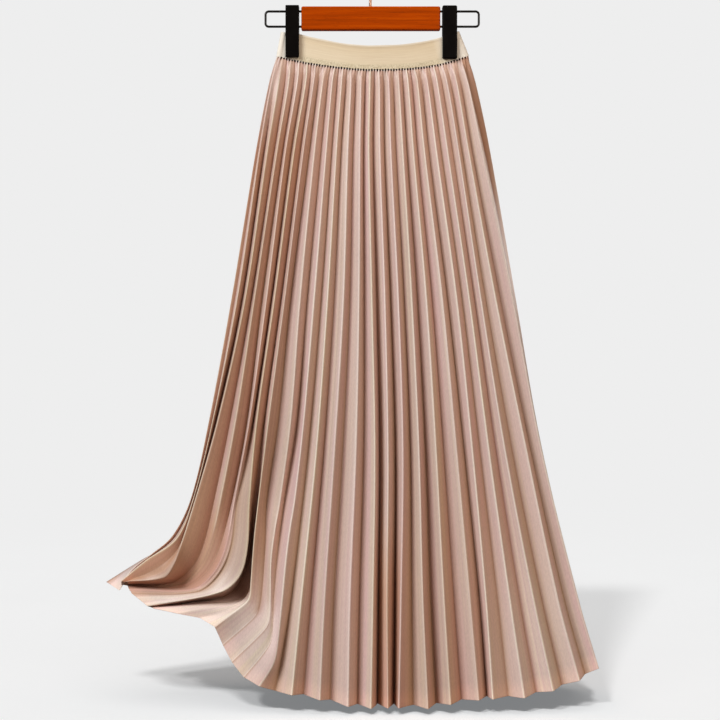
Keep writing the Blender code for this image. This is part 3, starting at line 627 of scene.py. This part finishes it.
def moulded_plastic(name, grey):
    n = Nodes(name)
    place_at = n.add("ShaderNodeTexCoord").outputs["Object"]
    skin_grain = n.noise(place_at, 1400.0, 2.0)
    smear = n.noise(place_at, 60.0, 3.0)
    n.link(n.ramp(smear, ((0.35, (grey * 0.8, grey * 0.6, grey * 0.5)), (0.7, (grey * 1.6, grey * 1.2, grey)))), n.shader.inputs["Base Color"])
    n.link(n.maths("ADD", n.maths("MULTIPLY", smear, 0.2), 0.36), n.shader.inputs["Roughness"])
    n.link(n.bump(skin_grain, 0.25, 0.0002), n.shader.inputs["Normal"])
    n.set(Specular_IOR_Level=0.08)
    return n.mat


def metal(name, dark, light, rough, metallic):
    n = Nodes(name)
    place_at = n.add("ShaderNodeTexCoord").outputs["Object"]
    drawn = n.noise(n.mapped(place_at, (1.0, 1.0, 0.2)), 900.0, 3.0)
    n.link(n.ramp(drawn, ((0.3, dark), (0.7, light))), n.shader.inputs["Base Color"])
    n.link(n.maths("ADD", n.maths("MULTIPLY", drawn, 0.15), rough), n.shader.inputs["Roughness"])
    n.link(n.bump(drawn, 0.1, 0.0001), n.shader.inputs["Normal"])
    n.set(Metallic=metallic)
    return n.mat


wood = varnished_wood()
plastic = moulded_plastic("black_plastic", 0.002)
copper = metal("rose_copper", (0.52, 0.31, 0.22), (0.66, 0.44, 0.34), 0.22, 1.0)
black_wire = metal("black_wire", (0.004, 0.004, 0.004), (0.010, 0.010, 0.010), 0.3, 0.2)


# painted shade: this near-black thread also stands for the shade in the hollows between the gathers
def thread_and_shade_paint():
    n = Nodes("dark_thread_and_shade")
    place_at = n.add("ShaderNodeTexCoord").outputs["Object"]
    twist = n.noise(n.mapped(place_at, (1.0, 1.0, 1.0)), 2400.0, 2.0)
    n.link(n.ramp(twist, ((0.3, (0.010, 0.005, 0.003)), (0.7, (0.026, 0.013, 0.008)))), n.shader.inputs["Base Color"])
    n.link(n.bump(twist, 0.3, 0.0002), n.shader.inputs["Normal"])
    n.set(Roughness=0.9, Specular_IOR_Level=0.12)
    return n.mat


thread = thread_and_shade_paint()

# ---------------------------------------------------------------- cloth


def along_shares():
    """Shares of the length, closer together at the gathers and in the sweep."""
    top = [0.026 * (i / 12) for i in range(12)]
    middle = [0.026 + (0.62 - 0.026) * i / 34 for i in range(34)]
    low = [0.62 + 0.38 * i / 62 for i in range(62)]
    return top + middle + low + [0.9978, 0.9993, 1.0]


FACE_STEPS = (0.0, 0.05, 0.18, 0.38, 0.60, 0.80, 0.93)


def smooth(values, low, high):
    s = np.clip((values - low) / (high - low), 0.0, 1.0)
    return s * s * (3 - 2 * s)


def waves(x, y, seed):
    """A quiet uneven field between about -1 and 1."""
    r = np.random.RandomState(seed)
    out = np.zeros_like(x)
    for _ in range(7):
        fx, fy = r.uniform(0.25, 1.3), r.uniform(1.0, 7.0)
        out += np.sin(fx * x + fy * y * 2 + r.uniform(0, 6.28)) * r.uniform(0.5, 1.0)
    return out / 4.0


def mesh_from_grid(name, points, closed, attribute, values, mat, facing=None, deep=None):
    rows, cols = points.shape[:2]
    mesh = bpy.data.meshes.new(name)
    spans = cols if closed else cols - 1
    r, c = np.meshgrid(np.arange(rows - 1), np.arange(spans), indexing="ij")
    k = (c + 1) % cols
    quads = np.stack([r * cols + c, (r + 1) * cols + c, (r + 1) * cols + k, r * cols + k], axis=-1).reshape(-1, 4)
    mesh.from_pydata(points.reshape(-1, 3).tolist(), [], quads.tolist())
    layer = mesh.attributes.new(attribute, "FLOAT_VECTOR", "POINT")
    layer.data.foreach_set("vector", values.reshape(-1).astype(np.float32))
    if facing is not None:
        layer = mesh.attributes.new("side", "FLOAT", "POINT")
        layer.data.foreach_set("value", np.broadcast_to(facing, (rows, cols)).reshape(-1).astype(np.float32))
    if deep is not None:
        layer = mesh.attributes.new("deep", "FLOAT", "POINT")
        layer.data.foreach_set("value", np.broadcast_to(deep, (rows, cols)).reshape(-1).astype(np.float32))
    mesh.polygons.foreach_set("use_smooth", [True] * len(mesh.polygons))
    mesh.update()
    ob = bpy.data.objects.new(name, mesh)
    bpy.context.scene.collection.objects.link(ob)
    ob.data.materials.append(mat)
    return ob


def shell(ob, thick, offset=0.0):
    wall = ob.modifiers.new("Thickness", "SOLIDIFY")
    wall.thickness = thick
    wall.offset = offset
    wall.use_even_offset = False
    return wall


def grid_normals(points):
    down = np.gradient(points, axis=0)
    side = np.gradient(points, axis=1)
    n = np.cross(down, side)
    return n / np.maximum(np.linalg.norm(n, axis=2, keepdims=True), 1e-9)


def pleated(lines, kinds, seed, bow, paint_creases=None):
    """A dense surface through fold lines; lines is (fold, row, xyz)."""
    count, rows = lines.shape[:2]
    columns, faces, slopes, ends = [], [], [], []
    for i in range(count - 1):
        for step in FACE_STEPS:
            columns.append((i, step))
    columns.append((count - 1, 0.0))
    points = np.zeros((rows, len(columns), 3))
    for c, (i, s) in enumerate(columns):
        if s == 0.0:
            points[:, c] = lines[i]
        else:
            points[:, c] = lines[i] * (1 - s) + lines[i + 1] * s
        a = kinds[i]
        b = kinds[min(i + 1, count - 1)]
        slopes.append(a * (1 - s) + b * s)
        # share of the face to the nearer pressed edge, if one of its ends is one
        ends.append(min(s if a >= 1 else 9.0, 1 - s if b >= 1 else 9.0))
        faces.append(i + s)
    faces, slopes, ends = np.array(faces), np.array(slopes), np.array(ends)
    shares = np.array(along_shares())
    # round each pressed edge by a fraction of a millimetre
    width = np.linalg.norm(np.roll(lines, -1, axis=0) - lines, axis=2)
    for i in range(1, count - 1):
        c = i * len(FACE_STEPS)
        mid = (points[:, c - 1] + points[:, c + 1]) / 2
        points[:, c] += (mid - points[:, c]) * 0.35
    # 0 to 0.8 up the face from crease to edge, then the last millimetre or two up to 1: the colour ramps paint shade at
    # the crease end and a painted highlight in that last strip
    wide = np.stack([width[min(int(f), count - 2)] for f in faces], axis=1)
    edge = np.clip(1.5 - 1.5 * ends[None, :] * wide / np.minimum(0.0021, 0.0008 + 0.10 * wide), 0, 1)
    edge = edge * (0.62 + 0.38 * smooth(shares, 0.10, 0.40))[:, None]
    crease = 0.8 * slopes[None, :] + 0.2 * edge
    if paint_creases is not None:
        crease = paint_creases(crease, points, faces)
    # each face bows a little, as pressed cloth does when it hangs
    normals = grid_normals(points)
    step = faces - np.floor(faces)
    arch = np.sin(np.pi * step)[None, :]
    face_id = np.floor(faces)
    sign = np.sin(face_id * 2.4 + seed)[None, :]
    widths = np.stack([width[min(int(f), count - 2)] for f in face_id], axis=1)
    field = waves(np.broadcast_to(face_id[None, :] * 0.9, widths.shape), np.broadcast_to(shares[:, None], widths.shape), seed)
    points += normals * (arch * widths * bow * (0.6 * sign + 0.8 * field))[..., None]
    return points, faces, crease, shares


def gathers(points, shares, lines_down):
    """Small gathers under the elastic, three to a fold."""
    across = points[0, :, 0] / UNIT + STEM_AT
    phase = np.cos(2 * np.pi * (across - 371.8) / 2.74)
    fade = np.exp(-(shares * 0.88) / 0.0100)
    facing = np.where(points[:, :, 1:2] < 0, -1.0, 1.0)
    points[:, :, 1:2] -= facing * (phase[None, :] * fade[:, None] * 0.0015)[..., None]
    return points


SHARES = along_shares()
front_sampled = [run_through(line, SHARES) for line in front_lines()]
left_seam, right_seam = front_sampled[0], front_sampled[-1]
LENGTH_ROWS = tuple(SHARES)
rear_rows = back_rows(right_seam, left_seam)


def as_array(lines):
    return np.array([[tuple(p) for p in line] for line in lines])


front_array = as_array(front_sampled)
rear_array = as_array(rear_rows).transpose(1, 0, 2)

front_kinds = []
for row in SWEPT:
    front_kinds.append({"r": 1.0, "v": 0.0, "s": 0.2, "p": 0.5}[row[1]])
front_kinds.append(0.0)
for i in range(len(FRONT)):
    front_kinds.append(1.0)
    if i + 1 < len(FRONT):
        front_kinds.append(0.0)
front_kinds += [0.0, 1.0, 0.0]
assert len(front_kinds) == len(front_array), (len(front_kinds), len(front_array))
rear_kinds = [0.0] + [0.0 if i % 2 else 1.0 for i in range(len(rear_array) - 2)] + [0.0]



def swept_painted_creases(crease, points, faces):
    """Painted shade and highlight on the sweep: on the flattened strip each edge gets a painted hair of
    shadow behind it and a painted highlight on it; low down the broad swept face is painted an even shade
    with next to no edges, the faces by the tip a little lighter, and high up the first faces an even middle tone."""
    down = BAR_TOP_AT + (BAR_TOP_Z - points[:, :, 2]) / UNIT
    profile = ((0.0, 0.95), (0.04, 0.02), (0.14, 0.40), (0.34, 0.60), (0.6, 0.67), (0.9, 0.72), (0.96, 0.84), (1.0, 0.97))
    step = faces - np.floor(faces)
    pressed = np.interp(step, [k for k, _ in profile], [v for _, v in profile])
    on_strip = ((faces >= 16) & (faces < 20)).astype(float)
    crease = crease + (pressed[None, :] - crease) * on_strip[None, :] * smooth(down, 600, 616)
    broad = (smooth(faces, 5.9, 6.4) * (1 - smooth(faces, 9.3, 9.9)))[None, :] * smooth(down, 515, 560)
    crease = crease + (0.09 - crease) * 0.8 * broad
    by_tip = (smooth(faces, 3.1, 3.5) * (1 - smooth(faces, 5.5, 5.9)))[None, :] * smooth(down, 535, 560)
    crease = crease + (0.30 - crease) * 0.55 * by_tip
    first = ((1 - smooth(faces, 3.6, 4.2)) * smooth(faces, 0.0, 0.3))[None, :] * (1 - smooth(down, 120, 200))
    return crease + (0.62 - crease) * 0.85 * first


front_points, front_faces, front_crease, shares = pleated(front_array, front_kinds, 3, 0.035, swept_painted_creases)
rear_points, rear_faces, rear_crease, _ = pleated(rear_array, rear_kinds, 11, 0.03)


def sweep_creases(points, faces, shares):
    """Soft folds that run down the swept face between f03 and f04, low down."""
    normals = grid_normals(points)
    first = next(i for i, r in enumerate(SWEPT) if r[0] == "f03")
    last = next(i for i, r in enumerate(SWEPT) if r[0] == "f04")
    inside = np.clip((faces - first) / (last - first), 0, 1)
    on_face = np.sin(np.pi * inside)[None, :] ** 0.6
    late = smooth(shares, 0.66, 0.86)[:, None]
    ripple = np.sin(inside[None, :] * 17 + shares[:, None] * 9) + 0.6 * np.sin(inside[None, :] * 31 - shares[:, None] * 14 + 1.3)
    points += normals * (on_face * late * ripple * 0.0011)[..., None]
    return points


front_points = sweep_creases(front_points, front_faces, shares)
front_points = gathers(front_points, shares, None)
rear_points = gathers(rear_points, shares, None)


def sides_of(faces, kinds):
    """1 on a face that rises to a pressed edge, -1 on one that falls from it, 0 on the edge."""
    out = []
    for f in faces:
        i = int(f)
        if f == i or i + 1 >= len(kinds):
            out.append(0.0)
        else:
            out.append(1.0 if kinds[i + 1] >= kinds[i] else -1.0)
    return np.array(out)


def painted_light_sides(points, faces, side):
    """The side value that picks painted light or painted shade for each face: the two kinds of face still
    differ less where the sweep is laid flat, and some stretches are set towards painted light (above 0) or
    painted shade (below 0).
    """
    names = [r[0] for r in SWEPT]
    down = BAR_TOP_AT + (BAR_TOP_Z - points[:, :, 2]) / UNIT
    out = np.broadcast_to(side, down.shape).copy()
    #        from   to     starts  full  becomes
    for first, last, start, full, value in (
        ("seam", "v01", 165, 95, 0.9),
        ("seam", "f00", 550, 572, 0.9),
        ("v01", "f01", 520, 565, -0.85),
        ("v02", "v03", 480, 540, -0.9),
        ("v03", "f03", 500, 555, -0.8),
        ("f03", "v04", 430, 480, 0.3),
        ("v04", "f04", 560, 590, 0.7),
        ("v05", "f05", 596, 606, 0.8),
        ("f05", "f07", 530, 628, 0.75),
    ):
        a, b = names.index(first), names.index(last)
        inside = smooth(faces, a - 0.2, a + 0.2) * (1 - smooth(faces, b - 0.2, b + 0.2))
        amount = inside[None, :] * smooth(down, start, full)
        out += (value - out) * amount
    # painted shade and light: the sweep's second face is painted from shade to light across its width
    second = names.index("v01")
    on_it = smooth(faces, second, second + 0.04) * (1 - smooth(faces, second + 0.97, second + 1.0))
    turn = -0.9 + 1.7 * smooth(faces, second + 0.30, second + 0.95)
    out += (turn[None, :] - out) * on_it[None, :] * smooth(down, 520, 560)
    # painted shade: two folds in the middle stand in the shade of the one before; the right flank's faces are painted
    # closer together in tone, as if open to the light
    sunk = smooth(faces, 28.02, 28.2) * (1 - smooth(faces, 31.8, 31.98))
    out += (-1.0 - out) * 0.85 * sunk[None, :] * smooth(down, 500, 590)
    flank = smooth(faces, 37.5, 41.0)[None, :] * smooth(down, 480, 640)
    out += (0.55 * out + 0.15 - out) * flank
    # painted shade: high up, what lies round the right edge is painted dark
    out += (-0.95 - out) * smooth(faces, 48.02, 48.3)[None, :] * (1 - smooth(down, 325, 400))
    return out * (1 - 0.3 * (1 - smooth(down, 80, 190)))


def painted_fold_shade(points, faces):
    """Painted shade where the folds stand deep: the sweep's side, and low down on the right; below 0, painted light
    where the cloth lies open.
    """
    down = BAR_TOP_AT + (BAR_TOP_Z - points[:, :, 2]) / UNIT
    f = np.broadcast_to(faces[None, :], down.shape)
    left = (1 - smooth(f, 14.5, 19.5)) * smooth(down, 80, 150)
    right = 0.55 * smooth(f, 27, 33) * smooth(down, 300, 640) * (1 - smooth(f, 37, 43))
    right = right + 0.45 * smooth(f, 28.02, 28.2) * (1 - smooth(f, 31.8, 31.98)) * smooth(down, 500, 590)
    laid = smooth(f, 12.1, 12.6) * (1 - smooth(f, 19.6, 20.1)) * smooth(down, 586, 597)
    lip = smooth(f, 8.6, 10.2) * (1 - smooth(f, 11.0, 11.3)) * smooth(down, 500, 560)
    under = smooth(f, 11.0, 11.6) * (1 - smooth(f, 13.0, 13.6)) * smooth(down, 540, 570)
    tip = (1 - smooth(f, 2.7, 3.1)) * smooth(down, 550, 574)
    around = smooth(f, 48.02, 48.3) * (1 - smooth(down, 325, 400))
    open_face = smooth(f, 5.9, 6.4) * (1 - smooth(f, 9.3, 9.9)) * smooth(down, 500, 565)
    left = left * (1 - 0.45 * open_face)
    deep = np.clip((left * (1 - tip) + right + around) * (1 - laid) * (1 - 0.8 * lip) * (1 - 0.75 * under), 0, 1)
    # painted light: the sweep's laid-down cloth, open to the light, is painted paler: below 0
    strip = smooth(f, 12.1, 12.5) * (1 - smooth(f, 19.6, 20.1)) * smooth(down, 586, 598 + 14 * smooth(f, 15.5, 17))
    lip_low = smooth(f, 9.6, 10.4) * (1 - smooth(f, 10.9, 11.1)) * smooth(down, 545, 592)
    strip = strip * (0.55 - 0.12 * smooth(f, 15.6, 16.2))
    flank = 0.22 * smooth(f, 37, 42) * smooth(down, 520, 640)
    return deep - np.clip(strip + 0.75 * lip_low + 0.7 * tip + flank, 0, 1)


def cloth_values(faces, crease, shares, offset, points):
    rows = len(shares)
    out = np.zeros((rows, len(faces), 3))
    out[:, :, 0] = faces[None, :] + offset
    out[:, :, 1] = shares[:, None]
    # painted highlight and shade: the tips of the gathers are painted as pale as a pressed edge, the hollows between as
    # dark as a crease
    across = points[0, :, 0] / UNIT + STEM_AT
    tips = 0.5 - 0.5 * np.cos(2 * np.pi * (across - 371.8) / 2.74)
    near_top = np.exp(-(shares * 0.88) / 0.0105)[:, None]
    out[:, :, 2] = crease * (1 - near_top) + tips[None, :] * near_top
    return out


# Painted light and shade on both cloths: the side values pick each face's painted lit or shaded colours, and deep
# paints shade in the folds; the back takes the same painted sides and a steady 0.35 of painted fold shade.
skirt_front = mesh_from_grid("skirt_front_cloth", front_points, False, "cloth", cloth_values(front_faces, front_crease, shares, 0, front_points), satin_front, painted_light_sides(front_points, front_faces, sides_of(front_faces, front_kinds)), painted_fold_shade(front_points, front_faces))
skirt_back = mesh_from_grid("skirt_back_cloth", rear_points, False, "cloth", cloth_values(rear_faces, rear_crease, shares, 80, rear_points), satin_back, -sides_of(rear_faces, rear_kinds), 0.35)
for piece, node in ((skirt_front, "skirt_front"), (skirt_back, "skirt_back")):
    shell(piece, 0.0007)
    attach(piece, "root")
    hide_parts(node)

# ---------------------------------------------------------------- elastic waistband


def band_surface():
    """The elastic: rounded edges, fine horizontal ribs, a puckered lower edge."""
    rises = [0.0, 0.012, 0.035] + [0.07 + 0.86 * i / 30 for i in range(31)] + [0.965, 0.988, 1.0]
    steps = 330
    rows, values = [], []
    for rise in rises:
        left = 276.8 + (281.5 - 276.8) * rise
        right = 468.5 + (458.6 - 468.5) * rise
        row, vals = [], []
        for side in (-1, 1):
            for i in range(steps):
                share = i / steps
                eased = 0.5 + 0.5 * side * math.cos(math.pi * (0.35 * share + 0.65 * (share - math.sin(2 * math.pi * share) * 0.04)) / 1.0)
                turn = 0.5 + 0.5 * side * math.cos(math.pi * share)
                across = left + (right - left) * turn
                low = 276.8 + (468.5 - 276.8) * turn
                pucker = math.cos(2 * math.pi * (low - 371.8) / 2.74)
                near_low = math.exp(-rise / 0.06)
                near_top = math.exp(-(1 - rise) / 0.03)
                wave = 0.25 * math.sin(low * 0.11 + 2.0 * rise) + 0.15 * math.sin(low * 0.37 + 1.0)
                depth = waist_depth(low) + 0.16 * wave + 0.22 * pucker * near_low
                down = waist_down(low) - band_height(low) * rise
                down += 0.22 * pucker * near_low
                down += 0.12 * math.sin(low * 0.19) * near_top
                row.append(tuple(place(across, down, depth * side)))
                vals.append((low * UNIT * 10, rise, side))
        rows.append(row)
        values.append(vals)
    return np.array(rows), np.array(values)


band_points, band_values = band_surface()
waistband = mesh_from_grid("waistband_elastic", band_points, True, "band", band_values, elastic)
shell(waistband, 0.0015)
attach(waistband, "root")
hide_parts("waistband")

# ---------------------------------------------------------------- gathering stitches and painted shade


def stitch_and_shade_row():
    """Short dark stitches in the hollows between the gathers, just under the elastic; these dark beads also stand for
    the shade in those hollows.
    """
    verts, faces = [], []
    for side in (-1, 1):
        n = -33
        while True:
            across = 371.8 + 2.74 * n
            n += 1
            if across > 466.8:
                break
            if across < 278.5:
                continue
            centre = place(across, waist_down(across) + 0.85 + 0.15 * math.sin(n * 5.1), 0)
            depth = (waist_depth(across) + 0.55) * 0.001 * side
            centre.y = depth
            wide, tall, deep = 0.0012, 0.0017 * (1 + 0.2 * math.sin(n * 2.3)), 0.0011
            start = len(verts)
            for i in range(5):
                v = math.pi * i / 4
                for j in range(8):
                    u = 2 * math.pi * j / 8
                    verts.append((
                        centre.x + wide * math.sin(v) * math.cos(u),
                        centre.y + deep * math.sin(v) * math.sin(u),
                        centre.z + tall * math.cos(v),
                    ))
            for i in range(4):
                for j in range(8):
                    k = (j + 1) % 8
                    faces.append((start + i * 8 + j, start + (i + 1) * 8 + j, start + (i + 1) * 8 + k, start + i * 8 + k))
    mesh = bpy.data.meshes.new("gather_stitches")
    mesh.from_pydata(verts, [], faces)
    mesh.polygons.foreach_set("use_smooth", [True] * len(mesh.polygons))
    mesh.update()
    ob = bpy.data.objects.new("gather_stitches", mesh)
    bpy.context.scene.collection.objects.link(ob)
    ob.data.materials.append(thread)
    return ob


stitches = stitch_and_shade_row()
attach(stitches, "root")

# ---------------------------------------------------------------- hanger
for name, mat in (("hanger_bar", wood), ("clip_left", plastic), ("clip_right", plastic)):
    for s in bpy.data.objects[name].material_slots:
        s.material = mat


def round_wire(name, points, radius, mat, node):
    curve = bpy.data.curves.new(name, "CURVE")
    curve.dimensions = "3D"
    curve.bevel_depth = radius
    curve.bevel_resolution = 5
    curve.use_fill_caps = True
    spline = curve.splines.new("POLY")
    spline.points.add(len(points) - 1)
    for p, co in zip(spline.points, points):
        p.co = (*co, 1)
    spline.use_smooth = True
    ob = bpy.data.objects.new(name, curve)
    bpy.context.scene.collection.objects.link(ob)
    curve.materials.append(mat)
    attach(ob, "root")
    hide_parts(node)
    return ob


def at(across, down, y=0.0):
    return Vector(((across - STEM_AT) * UNIT, y, BAR_TOP_Z - (down - BAR_TOP_AT) * UNIT))


BAR_LEFT, BAR_RIGHT = 301.4, 440.2
WIRE_R, WIRE_HIGH, WIRE_LOW = 0.0016, 11.5, 26.7
HOOK_WIRE, HOOK_INNER, STEM_IN = 0.002, 0.019, 0.010


def hook_line():
    swing = HOOK_INNER + HOOK_WIRE
    points = [Vector((0, 0, BAR_TOP_Z - STEM_IN)), Vector((0, 0, BAR_TOP_Z + 0.004)), Vector((0, 0, -0.0560))]
    points += [Vector((0.0012, 0, -0.0510)), Vector((0.0042, 0, -0.0468)), Vector((0.0085, 0, -0.0425))]
    for i in range(49):
        angle = math.radians(-52 + 256 * i / 48)
        points.append(Vector((swing * math.cos(angle), 0, -HOOK_INNER + swing * math.sin(angle))))
    return points


round_wire("hook_metal", hook_line(), HOOK_WIRE, copper, "hook")


def loop_line(bar_end, outer):
    way = 1 if outer > bar_end else -1
    r = 3.2
    inside = bar_end - way * 7.0
    points = [at(inside, WIRE_HIGH), at(bar_end, WIRE_HIGH)]
    for i in range(13):
        a = math.radians(90 * i / 12)
        points.append(at(outer - way * r + way * r * math.sin(a), WIRE_HIGH + r - r * math.cos(a)))
    for i in range(13):
        a = math.radians(90 * i / 12)
        points.append(at(outer - way * r + way * r * math.cos(a), WIRE_LOW - r + r * math.sin(a)))
    return points + [at(bar_end, WIRE_LOW), at(inside, WIRE_LOW)]


round_wire("wire_left_loop", loop_line(BAR_LEFT, 265.6), WIRE_R, black_wire, "wire_left")
round_wire("wire_right_loop", loop_line(BAR_RIGHT, 478.8), WIRE_R, black_wire, "wire_right")

# ---------------------------------------------------------------- floor and light


def floor_disc():
    """A pale floor that runs out of sight; past a few metres it is as bright as the background."""
    low = cad_box[0][2] - 0.010
    rings = (0.0, 1.0, 2.0, 3.0, 5.0, 9.0, 20.0, 60.0)
    verts, faces = [(0.0, 0.0, low)], []
    spokes = 48
    for ring in rings[1:]:
        for i in range(spokes):
            a = 2 * math.pi * i / spokes
            verts.append((ring * math.cos(a), ring * math.sin(a), low))
    for i in range(spokes):
        faces.append((0, 1 + i, 1 + (i + 1) % spokes))
    for r in range(len(rings) - 2):
        for i in range(spokes):
            k = (i + 1) % spokes
            faces.append((1 + r * spokes + i, 1 + (r + 1) * spokes + i, 1 + (r + 1) * spokes + k, 1 + r * spokes + k))
    mesh = bpy.data.meshes.new("floor")
    mesh.from_pydata(verts, [], faces)
    mesh.update()
    ob = bpy.data.objects.new("floor", mesh)
    bpy.context.scene.collection.objects.link(ob)
    n = Nodes("pale_floor")
    n.set(Roughness=0.95, Specular_IOR_Level=0.0, Emission_Color=(0.86, 0.948, 1, 1), Emission_Strength=0.212)
    place_at = n.add("ShaderNodeTexCoord").outputs["Object"]
    n.link(n.ramp(n.noise(place_at, 2.5, 3.0), ((0.3, (0.786, 0.789, 0.791)), (0.7, (0.796, 0.799, 0.801)))), n.shader.inputs["Base Color"])
    flat = n.add("ShaderNodeVectorMath", operation="MULTIPLY")
    n.link(place_at, flat.inputs[0])
    flat.inputs[1].default_value = (1, 1, 0)
    away = n.add("ShaderNodeVectorMath", operation="LENGTH")
    n.link(flat.outputs["Vector"], away.inputs[0])
    far = n.add("ShaderNodeMapRange", interpolation_type="SMOOTHSTEP")
    far.inputs["From Min"].default_value = 1.3
    far.inputs["From Max"].default_value = 3.2
    n.link(away.outputs["Value"], far.inputs["Value"])
    glow = n.add("ShaderNodeEmission")
    glow.inputs["Color"].default_value = (BACKGROUND, BACKGROUND, BACKGROUND, 1)
    both = n.add("ShaderNodeMixShader")
    n.link(far.outputs["Result"], both.inputs["Fac"])
    n.link(n.shader.outputs["BSDF"], both.inputs[1])
    n.link(glow.outputs["Emission"], both.inputs[2])
    n.link(both.outputs["Shader"], n.tree.nodes["Material Output"].inputs["Surface"])
    ob.data.materials.append(n.mat)
    ob.visible_diffuse = False
    ob.visible_glossy = False
    ob.visible_shadow = False
    return ob


BACKGROUND = 0.855
floor = floor_disc()


def lit_only(lamp, ob, state):
    """The lamp reaches only this object, or everything but it."""
    group = bpy.data.collections.new(lamp.name + "_receivers")
    group.objects.link(ob)
    group.collection_objects[0].light_linking.link_state = state
    lamp.light_linking.receiver_collection = group


def area_light(name, where, aim, size, power, colour=(1, 1, 1)):
    data = bpy.data.lights.new(name, "AREA")
    data.shape = "RECTANGLE"
    data.size, data.size_y = size
    data.energy = power
    data.color = colour
    ob = bpy.data.objects.new(name, data)
    bpy.context.scene.collection.objects.link(ob)
    ob.location = where
    ob.rotation_euler = (Vector(aim) - Vector(where)).to_track_quat("-Z", "Y").to_euler()
    ob.visible_camera = False
    lit_only(ob, floor, "EXCLUDE")
    return ob


def floor_sun(name, toward, strength, spread, colour=(1, 1, 1)):
    data = bpy.data.lights.new(name, "SUN")
    data.energy = strength
    data.angle = math.radians(spread)
    data.color = colour
    ob = bpy.data.objects.new(name, data)
    bpy.context.scene.collection.objects.link(ob)
    ob.rotation_euler = Vector(toward).to_track_quat("-Z", "Y").to_euler()
    lit_only(ob, floor, "INCLUDE")
    return ob


MIDDLE = (-0.02, 0.0, -0.6)
area_light("key", (-6.0, -4.7, 4.4), MIDDLE, (4.2, 4.2), 735, (1.0, 0.99, 0.985))
area_light("front_fill", (1.6, -2.0, 0.6), (0.0, 0.0, -0.45), (1.6, 1.8), 30, (1.0, 0.84, 0.72))
area_light("rear_wash", (1.6, 2.6, 0.9), MIDDLE, (2.4, 2.4), 50, (1.0, 0.97, 0.94))
floor_sun("floor_soft", (0.11, 1.36, -1.0), 1.62, 6.5)
floor_sun("floor_side", (0.46, 1.29, -1.0), 1.28, 4.5)
floor_sun("floor_top", (0.0, 0.60, -1.0), 0.76, 62)

world = bpy.data.worlds.new("world")
bpy.context.scene.world = world
world.use_nodes = True
tree = world.node_tree
ambient = tree.nodes["Background"]
ambient.inputs["Color"].default_value = (1.0, 0.78, 0.64, 1)
ambient.inputs["Strength"].default_value = 0.11
plain = tree.nodes.new("ShaderNodeBackground")
plain.inputs["Color"].default_value = (BACKGROUND, BACKGROUND, BACKGROUND, 1)
seen = tree.nodes.new("ShaderNodeLightPath")
choose = tree.nodes.new("ShaderNodeMixShader")
tree.links.new(seen.outputs["Is Camera Ray"], choose.inputs["Fac"])
tree.links.new(ambient.outputs["Background"], choose.inputs[1])
tree.links.new(plain.outputs["Background"], choose.inputs[2])
tree.links.new(choose.outputs["Shader"], tree.nodes["World Output"].inputs["Surface"])
bpy.context.scene.view_settings.view_transform = "Standard"
